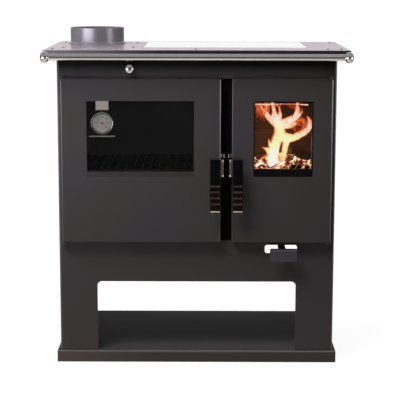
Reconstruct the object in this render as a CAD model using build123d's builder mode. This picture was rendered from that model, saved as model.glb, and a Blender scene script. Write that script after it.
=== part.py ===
from build123d import *
import os

# Wood cookstove, millimetres. Front towards -Y, right towards +X, up +Z.
# The origin is on the floor, under the centre of the stove's outer box.
# "Depth" is measured back from the outer face of the front panel.

# ---------------------------------------------------------------- carcass
body_width = 750
body_depth = 424
sheet = 2
front_bend_radius = 6
front_return = 25
side_lap = 15
back_flange = 20
plinth_height = 32
plinth_overhang = 9
plinth_edge_radius = 2.5
back_opening_height = 333
back_screw_inset = 15
back_screw_rows = 4
back_screw_length = 6
floor_flange = 18
rivet_spots = ((205.6, 790.5), (223.4, 790.5))
rivet_head_radius = 2.6
rivet_head_height = 1.2
rivet_shank_radius = 1.5

# ---------------------------------------------------------------- hob
hob_height = 858
hob_side_overhang = 34
hob_front_overhang = 24
hob_back_overhang = 10
hob_plate = 5
hob_lip = 12
hob_lip_sheet = 3
hob_corner_radius = 5
hob_edge_radius = 1.5
glass_side_margins = (261, 107)
glass_front = 112
glass_back_margin = 22
glass_thickness = 4
glass_corner_radius = 4
glass_gap = 0.5
glass_bevel = 0.5
seal_thickness = 1
ledge_width = 13
ledge_lap = 9
ledge_thickness = 3
screw_head_radius = 4
screw_head_height = 1.8
screw_shank_radius = 2
screw_clearance = 0.2
hob_screw_inset = 20
hob_screw_front = 38
hob_screw_back = 28
glass_screw_inset = 27
glass_screw_offsets = (-4, -66)
hob_front_screw = (-3, 24)
hob_right_screw = (57, 38)
hob_left_screw = (43, 102)

# ---------------------------------------------------------------- flue collar and smoke damper
collar_bore_radius = 75.25
collar_wall = 2
collar_height = 46
collar_side_inset = 84
collar_back_inset = 94
collar_flange_width = 5
collar_flange_thickness = 3
collar_rim_radius = 0.9
collar_neck_radius = 2.5
damper_x = -179
damper_height = 808.7
damper_rod_radius = 4
damper_travel = 60
damper_disc_radius = 36
damper_disc_thickness = 3
damper_hole_radius = 32
damper_hub_length = 8
running_gap = 0.05
bush_radius = 7
bush_flange_radius = 10
bush_flange_thickness = 2
bush_length = 18
knob_radius = 13.2
knob_length = 22
knob_stand = 5
knob_neck_radius = 6.5
knob_neck_length = 5
knob_cover = 10
flue_box_margin = 11.75
flue_box_right = -130
flue_box_sheet = 2
flue_box_flange = 10

# ---------------------------------------------------------------- rail
rail_stand = 51.5
rail_height = 841
rail_radius = 9
rail_wall = 1.5
rail_end_inset = 19
finial_radius = 14.5
finial_length = 21.5
spigot_length = 18
bracket_inset = 60
bracket_stem_radius = 5
bracket_foot_radius = 11
bracket_foot_thickness = 4
rail_gap = 0.05

# ---------------------------------------------------------------- doors
door_bottom = 339.5
door_top = 783
door_side_margin = 12
oven_door_right = 64.5
firebox_door_left = 94.5
door_stand = 4
door_thickness = 20
door_corner_radius = 6
door_edge_radius = 2.5
window_bottom = 520
window_top = 723
window_corner_radius = 2
oven_window_margins = (68.5, 72)
fire_window_margins = (57.5, 51.5)
oven_sill = 12.8
fire_sill = 19.8
fire_border = 3
fire_corner_radius = 4
pane_thickness = 4
pane_margin = 12
pane_drop = 3.5
frame_sheet = 2
frame_wall = 1.5
lip_back = 0.6
fit_gap = 0.3
liner_sheet = 2
opening_side_lap = 7
opening_edge_lap = 1.5
recess = 8
frame_plate = 3
mouth_margin = 24
mouth_corner_radius = 5
rope_inset = 3
rope_width = 10
rope_rib = 1.5
rope_rib_depth = 7
rope_edge_radius = 4

# ---------------------------------------------------------------- hinges
hinge_inset = 6
hinge_setback = 10
pin_radius = 2.5
pin_length = 26
pin_head_radius = 4
pin_head_thickness = 1.5
hinge_bush_radius = 4
hinge_bush_length = 18
lug_radius = 7
lug_thickness = 3
lug_gap = 0.5

# ---------------------------------------------------------------- latches
latch_height = 576
latch_plate = 3.4
latch_plate_gap = 3.8
latch_bolt_radius = 3
latch_eye_radius = 8
latch_arm_bottom = 524
grip_width = 27.3
grip_bottom = 433.6
grip_top = 570
grip_side_gap = 1.5
grip_stand = 25
grip_thickness = 13.5
grip_edge_radius = 2
grip_foot = 3
grip_slots = 4
grip_slot_pitch = 16.1
grip_slot_first = 452.5
grip_slot_width = 21
grip_slot_height = 4
bar_thickness = 3
keeper_depth = 1
keeper_height = 562
keeper_pin_radius = 3
keeper_web = 4
keeper_pin_reach = 12
keeper_foot_width = 10
keeper_foot_height = 34
keeper_foot_thickness = 3
keeper_web_height = 20
hook_gap = 0.5
hook_tip = 2
hook_play = 1.5
hook_throat = 4.5
hook_height = 8
latch_arm_width = 22
bolt_play = 0.3
bolt_head_radius = 6
bolt_head_thickness = 2.8
bolt_nut_radius = 6
bolt_nut_thickness = 5
bolt_collar_radius = 5

# ---------------------------------------------------------------- oven
oven_sheet = 1.5
oven_back_gap = 102.5
runner_levels = (430, 530, 640)
runner_width = 12
runner_thickness = 3
rack_rod_radius = 3
rack_brace_radius = 2.5
rack_wire_radius = 1.5
rack_corner_radius = 12
rack_wires = 15
rack_front = 22
rack_back_gap = 4
rack_clearance = 5.5

# ---------------------------------------------------------------- firebox
firebox_back_gap = 65
brick_thickness = 24.7
brick_gap = 0.3
brick_courses = 4
brick_chamfer = 1.5
brick_joint = 1
casing_top = 760
casing_sheet = 2
hearth_bottom = 451
hearth_thickness = 12
hearth_rim = 22
hearth_front_rim = 38
hearth_ledge = 9
grate_thickness = 12
grate_slots = 9
grate_slot_width = 10
grate_slot_margin = 29.5
grate_gap = 1
grate_front = 20
guard_thickness = 6
guard_height = 65
guard_corner_radius = 8
guard_slots = 9
guard_slot_width = 8
guard_slot_height = 36
guard_depth = 13
guard_inset = 8
ash_pan_height = 76
ash_pan_sheet = 1.5
ash_pan_front = 16
ash_pan_back_gap = 30
ash_pan_side_gap = 9
ash_pan_rim = 8
ash_handle_width = 60
ash_handle_reach = 14
ash_handle_rod = 3
ash_handle_drop = 26

# ---------------------------------------------------------------- primary air slide
air_x = 229
air_opening_width = 66
air_opening_front = 70
air_opening_length = 80
slide_travel = 30
slide_thickness = 2
slide_front = 54.5
slide_length = 111
slide_side = 8
slide_play = 0.5
guide_inset = 6
guide_sheet = 2
guide_lip = 8
lever_x = 232
lever_width = 20
lever_thickness = 3
lever_height = 320.5
lever_drop_depth = 18
lever_tongue_end = 95
lever_bay_margin = 5
tab_x = 235.2
tab_width = 73.2
tab_height = 36
tab_rise = 3
tab_stand = 34
tab_corner_radius = 3
slot_left = 186
slot_right = 273.6
slot_bottom = 305.9
slot_top = 328.5
slot_corner_radius = 6
leg_width = 103.5
base_opening_top = 226
base_corner_radius = 12

# ---------------------------------------------------------------- thermometer
thermometer_inset = 40.5
thermometer_height = 663
bezel_radius = 30
bezel_width = 3
case_depth = 10
case_wall = 1
dial_radius = 26.5
dial_thickness = 0.5
lens_thickness = 1
needle_length = 19
needle_tail = 7
needle_width = 2.6
needle_thickness = 0.6
needle_angle = 154.7
needle_pin_radius = 0.8
needle_play = 0.3
dial_room = 1.4
hanger_width = 34
hanger_bottom = 697
hanger_top = 742
hanger_neck = 14
hanger_sheet = 1
hanger_hook = 10
hanger_play = 1
foot_width = 68
foot_height = 628


def grown(span, amount):
    """The span with both ends moved outwards, or inwards where the amount is negative."""
    return (span[0] - amount, span[1] + amount)


# ---------------------------------------------------------------- derived places
front_y = (rail_stand + finial_radius - body_depth - hob_back_overhang) / 2
half_body = body_width / 2
half_inside = half_body - sheet
lap_inside = half_inside - sheet
inner_half = lap_inside - fit_gap
panel_top = hob_height - hob_plate
floor_bottom = back_opening_height + sheet
floor_top = floor_bottom + sheet
frame_back = recess + frame_plate

door_back = -door_stand
door_front = door_back - door_thickness
oven_door = (-half_body + door_side_margin, oven_door_right)
firebox_door = (firebox_door_left, half_body - door_side_margin)
door_heights = (door_bottom, door_top)
gap_centre = (oven_door_right + firebox_door_left) / 2
opening = (oven_door[0] + opening_side_lap, firebox_door[1] - opening_side_lap)
opening_heights = (door_bottom + opening_edge_lap, door_top - opening_edge_lap)
oven_mouth = (oven_door[0] + mouth_margin, oven_door[1] - mouth_margin)
firebox_mouth = (firebox_door[0] + mouth_margin, firebox_door[1] - mouth_margin)
mouth_heights = (door_bottom + mouth_margin, door_top - mouth_margin)
oven_window = (oven_door[0] + oven_window_margins[0], oven_door[1] - oven_window_margins[1])
fire_window = (firebox_door[0] + fire_window_margins[0], firebox_door[1] - fire_window_margins[1])
pane_front = door_front + sheet
pane_back = pane_front + pane_thickness

hinge_x = firebox_door[1] - hinge_inset
hinge_depth = door_front + hinge_setback
top_lug = (door_top + lug_gap, door_top + lug_gap + lug_thickness)
bottom_lug = (door_bottom - lug_gap - lug_thickness, door_bottom - lug_gap)

hob_x = grown((-half_body, half_body), hob_side_overhang)
hob_y = (front_y - hob_front_overhang, front_y + body_depth + hob_back_overhang)
glass_x = (hob_x[0] + glass_side_margins[0], hob_x[1] - glass_side_margins[1])
glass_y = (front_y + glass_front, hob_y[1] - glass_back_margin)
glass_bottom = hob_height - glass_thickness
ledge_top = glass_bottom - seal_thickness

firebox_bottom = mouth_heights[0] - casing_sheet
brick_space = brick_thickness + brick_gap
firebox_depth = body_depth - sheet - firebox_back_gap - casing_sheet - brick_space
casing_inside = (firebox_mouth[0] - brick_space, firebox_mouth[1] + brick_space)
casing_back = firebox_depth + brick_space
hearth_top = hearth_bottom + hearth_thickness
oven_depth = body_depth - sheet - oven_back_gap - oven_sheet
oven_roof = mouth_heights[1] + oven_sheet
rack_back = oven_depth - rack_back_gap

collar_x = -half_body + collar_side_inset
collar_depth = body_depth - collar_back_inset
flue_box_front = collar_depth - collar_bore_radius - flue_box_margin
thermometer_x = oven_window[0] + thermometer_inset


def facing(depth):
    """Upright plane that faces the front, at a depth behind the front panel's face."""
    return Plane.XZ.offset(-(front_y + depth))


def lathe_plane(origin, along, radial=(1, 0, 0)):
    """Plane of a turned profile: X is the radius and Y runs along the axis."""
    return Plane(origin=origin, x_dir=radial, z_dir=Vector(*radial).cross(Vector(*along)))


def block(x, depth, z, mode=Mode.ADD):
    """Box between two X values, two depths and two heights."""
    centre = (sum(x) / 2, front_y + sum(depth) / 2, sum(z) / 2)
    with Locations(centre):
        Box(x[1] - x[0], depth[1] - depth[0], z[1] - z[0], mode=mode)


def outline(across, up, radius=0.0, mode=Mode.ADD):
    """Rectangle between two values of each sketch axis, with round corners if asked."""
    with Locations((sum(across) / 2, sum(up) / 2)):
        if radius > 0:
            RectangleRounded(across[1] - across[0], up[1] - up[0], radius, mode=mode)
        else:
            Rectangle(across[1] - across[0], up[1] - up[0], mode=mode)


def finish(piece, name):
    """Labels a finished piece and writes it."""
    piece.label = name
    export_step(piece, f"parts/{name}.step")


os.makedirs("parts", exist_ok=True)

# ================================================================ carcass

with BuildPart() as plinth:
    block(
        grown((-half_body, half_body), plinth_overhang),
        grown((0, body_depth), plinth_overhang),
        (0, plinth_height),
    )
    fillet(plinth.edges().filter_by(Axis.Z), plinth_edge_radius)
    fillet(plinth.faces().sort_by(Axis.Z)[-1].edges(), plinth_edge_radius)
    offset(amount=-sheet, openings=plinth.faces().sort_by(Axis.Z)[0])
finish(plinth.part, "plinth")

with BuildPart() as front_panel:
    with BuildSketch(Plane.XY.offset(plinth_height)) as fold:
        outline((-half_body, half_body), (front_y, front_y + front_return))
        fillet(fold.vertices().group_by(Axis.Y)[0], front_bend_radius)
    extrude(amount=panel_top - plinth_height)
    with BuildSketch(Plane.XY.offset(plinth_height)) as fold_inside:
        outline((-half_inside, half_inside), (front_y + sheet, front_y + front_return + sheet))
        fillet(fold_inside.vertices().group_by(Axis.Y)[0], front_bend_radius - sheet)
    extrude(amount=panel_top - plinth_height, mode=Mode.SUBTRACT)
    # door opening with its return flange, which meets the recessed door frame
    with BuildSketch(facing(sheet)):
        outline(grown(opening, sheet), grown(opening_heights, sheet))
    extrude(amount=-(recess - sheet))
    with BuildSketch(facing(recess)):
        outline(opening, opening_heights)
    extrude(amount=recess, mode=Mode.SUBTRACT)
    # open base between the legs
    with BuildSketch(facing(sheet)) as base_opening:
        outline((-half_body + leg_width, half_body - leg_width), (plinth_height, base_opening_top))
        fillet(base_opening.vertices().group_by(Axis.Y)[-1], base_corner_radius)
    extrude(amount=sheet, mode=Mode.SUBTRACT)
    # slot of the air lever, hole of the damper bush, holes of the two rivets
    with BuildSketch(facing(sheet)):
        outline((slot_left, slot_right), (slot_bottom, slot_top), slot_corner_radius)
        with Locations((damper_x, damper_height)):
            Circle(bush_radius + running_gap)
        with Locations(*rivet_spots):
            Circle(rivet_shank_radius + running_gap)
    extrude(amount=sheet, mode=Mode.SUBTRACT)
finish(front_panel.part, "front_panel")

with BuildPart() as fascia_rivets:
    with BuildSketch(facing(sheet)):
        with Locations(*rivet_spots):
            Circle(rivet_shank_radius)
    extrude(amount=sheet)
    with BuildSketch(facing(0)):
        with Locations(*rivet_spots):
            Circle(rivet_head_radius)
    extrude(amount=rivet_head_height, taper=30)
finish(fascia_rivets.part, "fascia_rivets")

# back panel screws stand in the middle of the side panels' rear flanges
screw_column = half_body - back_flange / 2
screw_low = back_opening_height + back_screw_inset
screw_pitch = (panel_top - back_screw_inset - screw_low) / (back_screw_rows - 1)
back_screw_spots = [
    (side * screw_column, screw_low + row * screw_pitch)
    for side in (-1, 1)
    for row in range(back_screw_rows)
]

with BuildPart() as right_side_panel:
    block((half_inside, half_body), (front_return, body_depth - sheet), (plinth_height, panel_top))
    block(
        (lap_inside, half_inside),
        (front_return - side_lap, front_return + side_lap),
        (plinth_height, panel_top),
    )
    block(
        (half_body - back_flange, half_body),
        (body_depth - 2 * sheet, body_depth - sheet),
        (plinth_height, panel_top),
    )
    with BuildSketch(facing(body_depth)):
        with Locations(*back_screw_spots):
            Circle(screw_shank_radius + screw_clearance)
    extrude(amount=3 * sheet, mode=Mode.SUBTRACT)
finish(right_side_panel.part, "right_side_panel")

with BuildPart() as left_side_panel:
    add(right_side_panel.part)
    mirror(about=Plane.YZ, mode=Mode.REPLACE)
finish(left_side_panel.part, "left_side_panel")

with BuildPart() as back_panel:
    block(
        (-half_body, half_body),
        (body_depth - sheet, body_depth),
        (back_opening_height, panel_top),
    )
    block(
        grown((-half_body, half_body), -back_flange - fit_gap),
        (body_depth - sheet - back_flange, body_depth - sheet),
        (back_opening_height, floor_bottom),
    )
    with BuildSketch(facing(body_depth)):
        with Locations(*back_screw_spots):
            Circle(screw_shank_radius + screw_clearance)
    extrude(amount=sheet, mode=Mode.SUBTRACT)
finish(back_panel.part, "back_panel")

with BuildPart() as back_screws:
    with BuildSketch(facing(body_depth)):
        with Locations(*back_screw_spots):
            Circle(screw_shank_radius)
    extrude(amount=back_screw_length)
    with BuildSketch(facing(body_depth)):
        with Locations(*back_screw_spots):
            Circle(screw_head_radius)
    extrude(amount=-screw_head_height, taper=30)
finish(back_screws.part, "back_screws")

lever_bay = (lever_drop_depth - lever_bay_margin, lever_tongue_end + lever_bay_margin)
with BuildPart() as floor_plate:
    block(
        (-inner_half, inner_half),
        (sheet, body_depth - 2 * sheet - fit_gap),
        (floor_bottom, floor_top),
    )
    front_corners = floor_plate.edges().filter_by(Axis.Z).group_by(Axis.Y)[0]
    fillet(front_corners, front_bend_radius - sheet)
    for side in (-1, 1):
        edge = sorted((side * inner_half, side * (inner_half - sheet)))
        block(
            edge,
            (front_return + side_lap, body_depth - 2 * sheet - fit_gap),
            (floor_bottom - floor_flange, floor_bottom),
        )
    block(firebox_mouth, lever_bay, (floor_bottom, floor_top), mode=Mode.SUBTRACT)
finish(floor_plate.part, "floor_plate")

with BuildPart() as door_frame:
    block((-inner_half, inner_half), (recess, frame_back), (floor_top, panel_top))
    with BuildSketch(facing(frame_back)):
        outline(oven_mouth, mouth_heights, mouth_corner_radius)
        outline(firebox_mouth, mouth_heights, mouth_corner_radius)
        with Locations((damper_x, damper_height)):
            Circle(bush_radius + running_gap)
    extrude(amount=frame_plate, mode=Mode.SUBTRACT)
finish(door_frame.part, "door_frame")

# ================================================================ hob

corner_x = hob_x[1] - hob_screw_inset
corner_screws = [
    (side * corner_x, depth)
    for side in (-1, 1)
    for depth in (hob_screw_front, body_depth - hob_screw_back)
]
edge_screws = [
    hob_front_screw,
    (hob_x[1] - hob_right_screw[0], hob_right_screw[1]),
    (hob_x[0] + hob_left_screw[0], hob_left_screw[1]),
]
glass_side_screws = [
    (glass_x[0] - glass_screw_inset, edge + offset)
    for edge, offset in zip(glass_y, glass_screw_offsets)
]
hob_screw_spots = [(x, front_y + depth) for x, depth in corner_screws + edge_screws]
hob_screw_spots += glass_side_screws

with BuildPart() as hob_frame:
    with BuildSketch(Plane.XY.offset(panel_top)):
        outline(hob_x, hob_y, hob_corner_radius)
    extrude(amount=hob_plate)
    fillet(hob_frame.faces().sort_by(Axis.Z)[-1].edges(), hob_edge_radius)
    with BuildSketch(Plane.XY.offset(panel_top)):
        outline(hob_x, hob_y, hob_corner_radius)
        outline(
            grown(hob_x, -hob_lip_sheet),
            grown(hob_y, -hob_lip_sheet),
            hob_corner_radius - hob_lip_sheet,
            mode=Mode.SUBTRACT,
        )
    extrude(amount=-(hob_lip - hob_plate))
    # the glass stands in a through pocket, on a ledge below it
    with BuildSketch(Plane.XY.offset(ledge_top)):
        outline(grown(glass_x, glass_gap), grown(glass_y, glass_gap), glass_corner_radius)
    extrude(amount=hob_plate, mode=Mode.SUBTRACT)
    with BuildSketch(Plane.XY.offset(ledge_top)):
        outline(grown(glass_x, ledge_lap), grown(glass_y, ledge_lap))
        outline(
            grown(glass_x, -ledge_width), grown(glass_y, -ledge_width), mode=Mode.SUBTRACT
        )
    extrude(amount=-ledge_thickness)
    with BuildSketch(Plane.XY.offset(panel_top)):
        with Locations((collar_x, front_y + collar_depth)):
            Circle(collar_bore_radius)
        with Locations(*hob_screw_spots):
            Circle(screw_shank_radius + screw_clearance)
    extrude(amount=hob_plate, mode=Mode.SUBTRACT)
finish(hob_frame.part, "hob_frame")

with BuildPart() as hob_seal:
    with BuildSketch(Plane.XY.offset(ledge_top)):
        outline(glass_x, glass_y, glass_corner_radius)
        outline(
            grown(glass_x, -ledge_width), grown(glass_y, -ledge_width), mode=Mode.SUBTRACT
        )
    extrude(amount=seal_thickness)
finish(hob_seal.part, "hob_seal")

with BuildPart() as hob_glass:
    with BuildSketch(Plane.XY.offset(glass_bottom)):
        outline(glass_x, glass_y, glass_corner_radius)
    extrude(amount=glass_thickness)
    chamfer(hob_glass.faces().sort_by(Axis.Z)[-1].edges(), glass_bevel)
finish(hob_glass.part, "hob_glass")

with BuildPart() as hob_screws:
    with BuildSketch(Plane.XY.offset(panel_top)):
        with Locations(*hob_screw_spots):
            Circle(screw_shank_radius)
    extrude(amount=hob_plate)
    with BuildSketch(Plane.XY.offset(hob_height)):
        with Locations(*hob_screw_spots):
            Circle(screw_head_radius)
    extrude(amount=screw_head_height, taper=30)
finish(hob_screws.part, "hob_screws")

# ================================================================ flue collar and smoke damper

collar_foot = (collar_x, front_y + collar_depth, hob_height)
collar_outside = collar_bore_radius + collar_wall
with BuildPart() as flue_collar:
    with BuildSketch(lathe_plane(collar_foot, (0, 0, 1))) as collar_profile:
        outline((collar_bore_radius, collar_outside), (0, collar_height))
        outline(
            (collar_bore_radius, collar_outside + collar_flange_width),
            (0, collar_flange_thickness),
        )
        rim = collar_profile.vertices().group_by(Axis.Y)[-1]
        fillet(rim, collar_rim_radius)
        neck = collar_profile.vertices().filter_by_position(
            Axis.X, collar_outside - sheet / 2, collar_outside + sheet / 2
        )
        fillet(neck.sort_by(Axis.Y)[0], collar_neck_radius)
    revolve(axis=Axis(collar_foot, (0, 0, 1)))
finish(flue_collar.part, "flue_collar")

flue_box_top = panel_top - ledge_thickness - fit_gap
with BuildPart() as flue_box:
    block(
        (-inner_half, flue_box_right),
        (flue_box_front, flue_box_front + flue_box_sheet),
        (oven_roof, flue_box_top),
    )
    block(
        (flue_box_right - flue_box_sheet, flue_box_right),
        (flue_box_front, body_depth - sheet - fit_gap),
        (oven_roof, flue_box_top),
    )
    block(
        (oven_mouth[0], flue_box_right),
        (flue_box_front - flue_box_flange, flue_box_front),
        (oven_roof, oven_roof + flue_box_sheet),
    )
    with BuildSketch(facing(flue_box_front + flue_box_sheet)):
        with Locations((damper_x, damper_height)):
            Circle(damper_hole_radius)
    extrude(amount=flue_box_sheet, mode=Mode.SUBTRACT)
finish(flue_box.part, "flue_box")

with BuildPart() as damper_bush:
    with BuildSketch(facing(0)):
        with Locations((damper_x, damper_height)):
            Circle(bush_flange_radius)
    extrude(amount=bush_flange_thickness)
    with BuildSketch(facing(0)):
        with Locations((damper_x, damper_height)):
            Circle(bush_radius)
    extrude(amount=-bush_length)
    with BuildSketch(facing(bush_length)):
        with Locations((damper_x, damper_height)):
            Circle(damper_rod_radius + running_gap)
    extrude(amount=bush_length + bush_flange_thickness, mode=Mode.SUBTRACT)
finish(damper_bush.part, "damper_bush")

disc_front = flue_box_front + flue_box_sheet + hook_gap + damper_travel
knob_back = -bush_flange_thickness - knob_stand
knob_front = knob_back - knob_neck_length - knob_length
rod_front = knob_front + knob_cover
with BuildPart() as damper_disc:
    with BuildSketch(facing(disc_front)):
        with Locations((damper_x, damper_height)):
            Circle(damper_disc_radius)
    extrude(amount=-damper_disc_thickness)
    with BuildSketch(facing(disc_front + damper_disc_thickness)):
        with Locations((damper_x, damper_height)):
            Circle(2 * damper_rod_radius)
    extrude(amount=-damper_hub_length)
    with BuildSketch(facing(disc_front)):
        with Locations((damper_x, damper_height)):
            Circle(damper_rod_radius + running_gap)
    extrude(amount=-(damper_disc_thickness + damper_hub_length), mode=Mode.SUBTRACT)
finish(damper_disc.part, "damper_disc")

rod_back = disc_front + damper_disc_thickness + damper_hub_length
with BuildPart() as damper_rod:
    with BuildSketch(facing(rod_back)):
        with Locations((damper_x, damper_height)):
            Circle(damper_rod_radius)
    extrude(amount=rod_back - rod_front)
finish(damper_rod.part, "damper_rod")

knob_foot = (damper_x, front_y + knob_back, damper_height)
knob_flat = (knob_radius**2 - (knob_length / 2) ** 2) ** 0.5
with BuildPart() as damper_knob:
    with BuildSketch(lathe_plane(knob_foot, (0, -1, 0))):
        outline((0, knob_neck_radius), (0, knob_neck_length))
        with BuildLine():
            low = (knob_flat, knob_neck_length)
            high = (knob_flat, knob_neck_length + knob_length)
            ThreePointArc(low, (knob_radius, knob_neck_length + knob_length / 2), high)
            Polyline(high, (0, high[1]), (0, low[1]), low)
        make_face()
    revolve(axis=Axis(knob_foot, (0, -1, 0)))
    with BuildSketch(facing(knob_back)):
        with Locations((damper_x, damper_height)):
            Circle(damper_rod_radius + running_gap)
    extrude(amount=knob_back - rod_front, mode=Mode.SUBTRACT)
finish(damper_knob.part, "damper_knob")

# ================================================================ rail

rail_y = front_y - rail_stand
rail_end = hob_x[1] - rail_end_inset
rail_length = 2 * rail_end
bracket_x = rail_end - bracket_inset
with BuildPart() as towel_rail:
    with BuildSketch(Plane.YZ.offset(-rail_end)):
        with Locations((rail_y, rail_height)):
            Circle(rail_radius)
            Circle(rail_radius - rail_wall, mode=Mode.SUBTRACT)
    extrude(amount=rail_length)
finish(towel_rail.part, "towel_rail")

finial_flat = (finial_radius**2 - (finial_length / 2) ** 2) ** 0.5
finial_foot = (rail_end, rail_y, rail_height)
with BuildPart() as rail_finials:
    with BuildSketch(lathe_plane(finial_foot, (1, 0, 0), radial=(0, 0, 1))):
        outline((0, rail_radius - rail_wall - running_gap), (-spigot_length, 0))
        with BuildLine():
            ThreePointArc(
                (finial_flat, 0), (finial_radius, finial_length / 2), (finial_flat, finial_length)
            )
            Polyline((finial_flat, finial_length), (0, finial_length), (0, 0), (finial_flat, 0))
        make_face()
    revolve(axis=Axis(finial_foot, (1, 0, 0)))
    mirror(about=Plane.YZ)
finish(rail_finials.part, "rail_finials")

bracket_spots = [(-bracket_x, rail_height), (bracket_x, rail_height)]
with BuildPart() as rail_brackets:
    with BuildSketch(facing(0)):
        with Locations(*bracket_spots):
            Circle(bracket_foot_radius)
    extrude(amount=bracket_foot_thickness)
    with BuildSketch(facing(0)):
        with Locations(*bracket_spots):
            Circle(bracket_stem_radius)
    extrude(amount=rail_stand)
    with BuildSketch(Plane.YZ.offset(-rail_end)):
        with Locations((rail_y, rail_height)):
            Circle(rail_radius + rail_gap)
    extrude(amount=rail_length, mode=Mode.SUBTRACT)
finish(rail_brackets.part, "rail_brackets")

# ================================================================ oven

with BuildPart() as oven_box:
    with BuildSketch(facing(frame_back)):
        outline(
            grown(oven_mouth, oven_sheet),
            grown(mouth_heights, oven_sheet),
            mouth_corner_radius + oven_sheet,
        )
    extrude(amount=-(oven_depth + oven_sheet - frame_back))
    with BuildSketch(facing(frame_back)):
        outline(oven_mouth, mouth_heights, mouth_corner_radius)
    extrude(amount=-(oven_depth - frame_back), mode=Mode.SUBTRACT)
finish(oven_box.part, "oven_box")

with BuildPart() as oven_runners:
    for level in runner_levels:
        for wall, inwards in ((oven_mouth[0], 1), (oven_mouth[1], -1)):
            block(
                sorted((wall, wall + inwards * runner_width)),
                (rack_front, rack_back),
                (level - runner_thickness, level),
            )
finish(oven_runners.part, "oven_runners")

rack_height = runner_levels[1] + rack_rod_radius
rack_sides = grown(oven_mouth, -rack_clearance - rack_rod_radius)
rack_depths = (rack_front + rack_rod_radius, rack_back - rack_rod_radius)
wire_pitch = (rack_sides[1] - rack_sides[0]) / (rack_wires + 1)
with BuildSketch(Plane.XY.offset(rack_height)) as rack_outline:
    outline(rack_sides, [front_y + depth for depth in rack_depths], rack_corner_radius)
rack_path = rack_outline.sketch.wire()

with BuildPart() as oven_rack:
    with BuildSketch(Plane(origin=rack_path @ 0, z_dir=rack_path % 0)):
        Circle(rack_rod_radius)
    sweep(path=rack_path)
    with BuildSketch(Plane.YZ.offset(rack_sides[0])):
        with Locations((front_y + sum(rack_depths) / 2, rack_height)):
            Circle(rack_brace_radius)
    extrude(amount=rack_sides[1] - rack_sides[0])
    with BuildSketch(facing(rack_depths[0])):
        for wire in range(1, rack_wires + 1):
            with Locations((rack_sides[0] + wire * wire_pitch, rack_height)):
                Circle(rack_wire_radius)
    extrude(amount=-(rack_depths[1] - rack_depths[0]))
finish(oven_rack.part, "oven_rack")

# ================================================================ firebox

air_opening = (air_x - air_opening_width / 2, air_x + air_opening_width / 2)
air_opening_depths = (air_opening_front, air_opening_front + air_opening_length)
with BuildPart() as firebox_casing:
    block(
        grown(casing_inside, casing_sheet),
        (frame_back, casing_back + casing_sheet),
        (floor_top, casing_top),
    )
    block(
        casing_inside,
        (frame_back, casing_back),
        (mouth_heights[0], casing_top),
        mode=Mode.SUBTRACT,
    )
    block(
        casing_inside,
        (frame_back, casing_back),
        (floor_top, firebox_bottom),
        mode=Mode.SUBTRACT,
    )
    block(
        air_opening, air_opening_depths, (firebox_bottom, mouth_heights[0]), mode=Mode.SUBTRACT
    )
    # ledges that carry the hearth plate
    for wall, inwards in ((casing_inside[0], 1), (casing_inside[1], -1)):
        block(
            sorted((wall, wall + inwards * hearth_ledge)),
            (frame_back, casing_back),
            (hearth_bottom - casing_sheet, hearth_bottom),
        )
finish(firebox_casing.part, "firebox_casing")

hearth_x = grown(firebox_mouth, brick_thickness)
hearth_depths = (frame_back + brick_gap, firebox_depth + brick_thickness)
with BuildPart() as hearth_plate:
    block(hearth_x, hearth_depths, (hearth_bottom, hearth_top))
    block(
        grown(firebox_mouth, -hearth_rim),
        (hearth_front_rim, firebox_depth - hearth_rim),
        (hearth_bottom, hearth_top),
        mode=Mode.SUBTRACT,
    )
finish(hearth_plate.part, "hearth_plate")

course_height = (casing_top - hearth_top) / brick_courses
with BuildPart() as fire_bricks:
    for course in range(brick_courses):
        base = hearth_top + course * course_height
        heights = (base, base + course_height - brick_joint)
        side_depths = (hearth_depths[0], firebox_depth - brick_gap)
        block((hearth_x[0], firebox_mouth[0]), side_depths, heights)
        block((firebox_mouth[1], hearth_x[1]), side_depths, heights)
        block(hearth_x, (firebox_depth, hearth_depths[1]), heights)
    chamfer(fire_bricks.edges().filter_by(Plane.XY), brick_chamfer)
finish(fire_bricks.part, "fire_bricks")

grate_x = grown(firebox_mouth, -grate_gap)
slot_pitch = (grate_x[1] - grate_x[0]) / grate_slots
grate_depths = (grate_front, firebox_depth - grate_gap)
grate_slot_length = grate_depths[1] - grate_depths[0] - 2 * grate_slot_margin
with BuildPart() as grate:
    block(grate_x, grate_depths, (hearth_top, hearth_top + grate_thickness))
    with BuildSketch(Plane.XY.offset(hearth_top)):
        with Locations((sum(grate_x) / 2, front_y + sum(grate_depths) / 2)):
            with GridLocations(slot_pitch, 0, grate_slots, 1):
                SlotOverall(grate_slot_length, grate_slot_width, rotation=90)
    extrude(amount=grate_thickness, mode=Mode.SUBTRACT)
finish(grate.part, "grate")

guard_x = grown(firebox_mouth, -guard_inset)
guard_pitch = (guard_x[1] - guard_x[0]) / guard_slots
with BuildPart() as log_guard:
    with BuildSketch(facing(guard_depth + guard_thickness)) as guard_face:
        outline(guard_x, (hearth_top, hearth_top + guard_height))
        fillet(guard_face.vertices().group_by(Axis.Y)[-1], guard_corner_radius)
        with Locations((sum(guard_x) / 2, hearth_top + guard_height / 2)):
            with GridLocations(guard_pitch, 0, guard_slots, 1):
                SlotOverall(
                    guard_slot_height, guard_slot_width, rotation=90, mode=Mode.SUBTRACT
                )
    extrude(amount=guard_thickness)
finish(log_guard.part, "log_guard")

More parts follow.
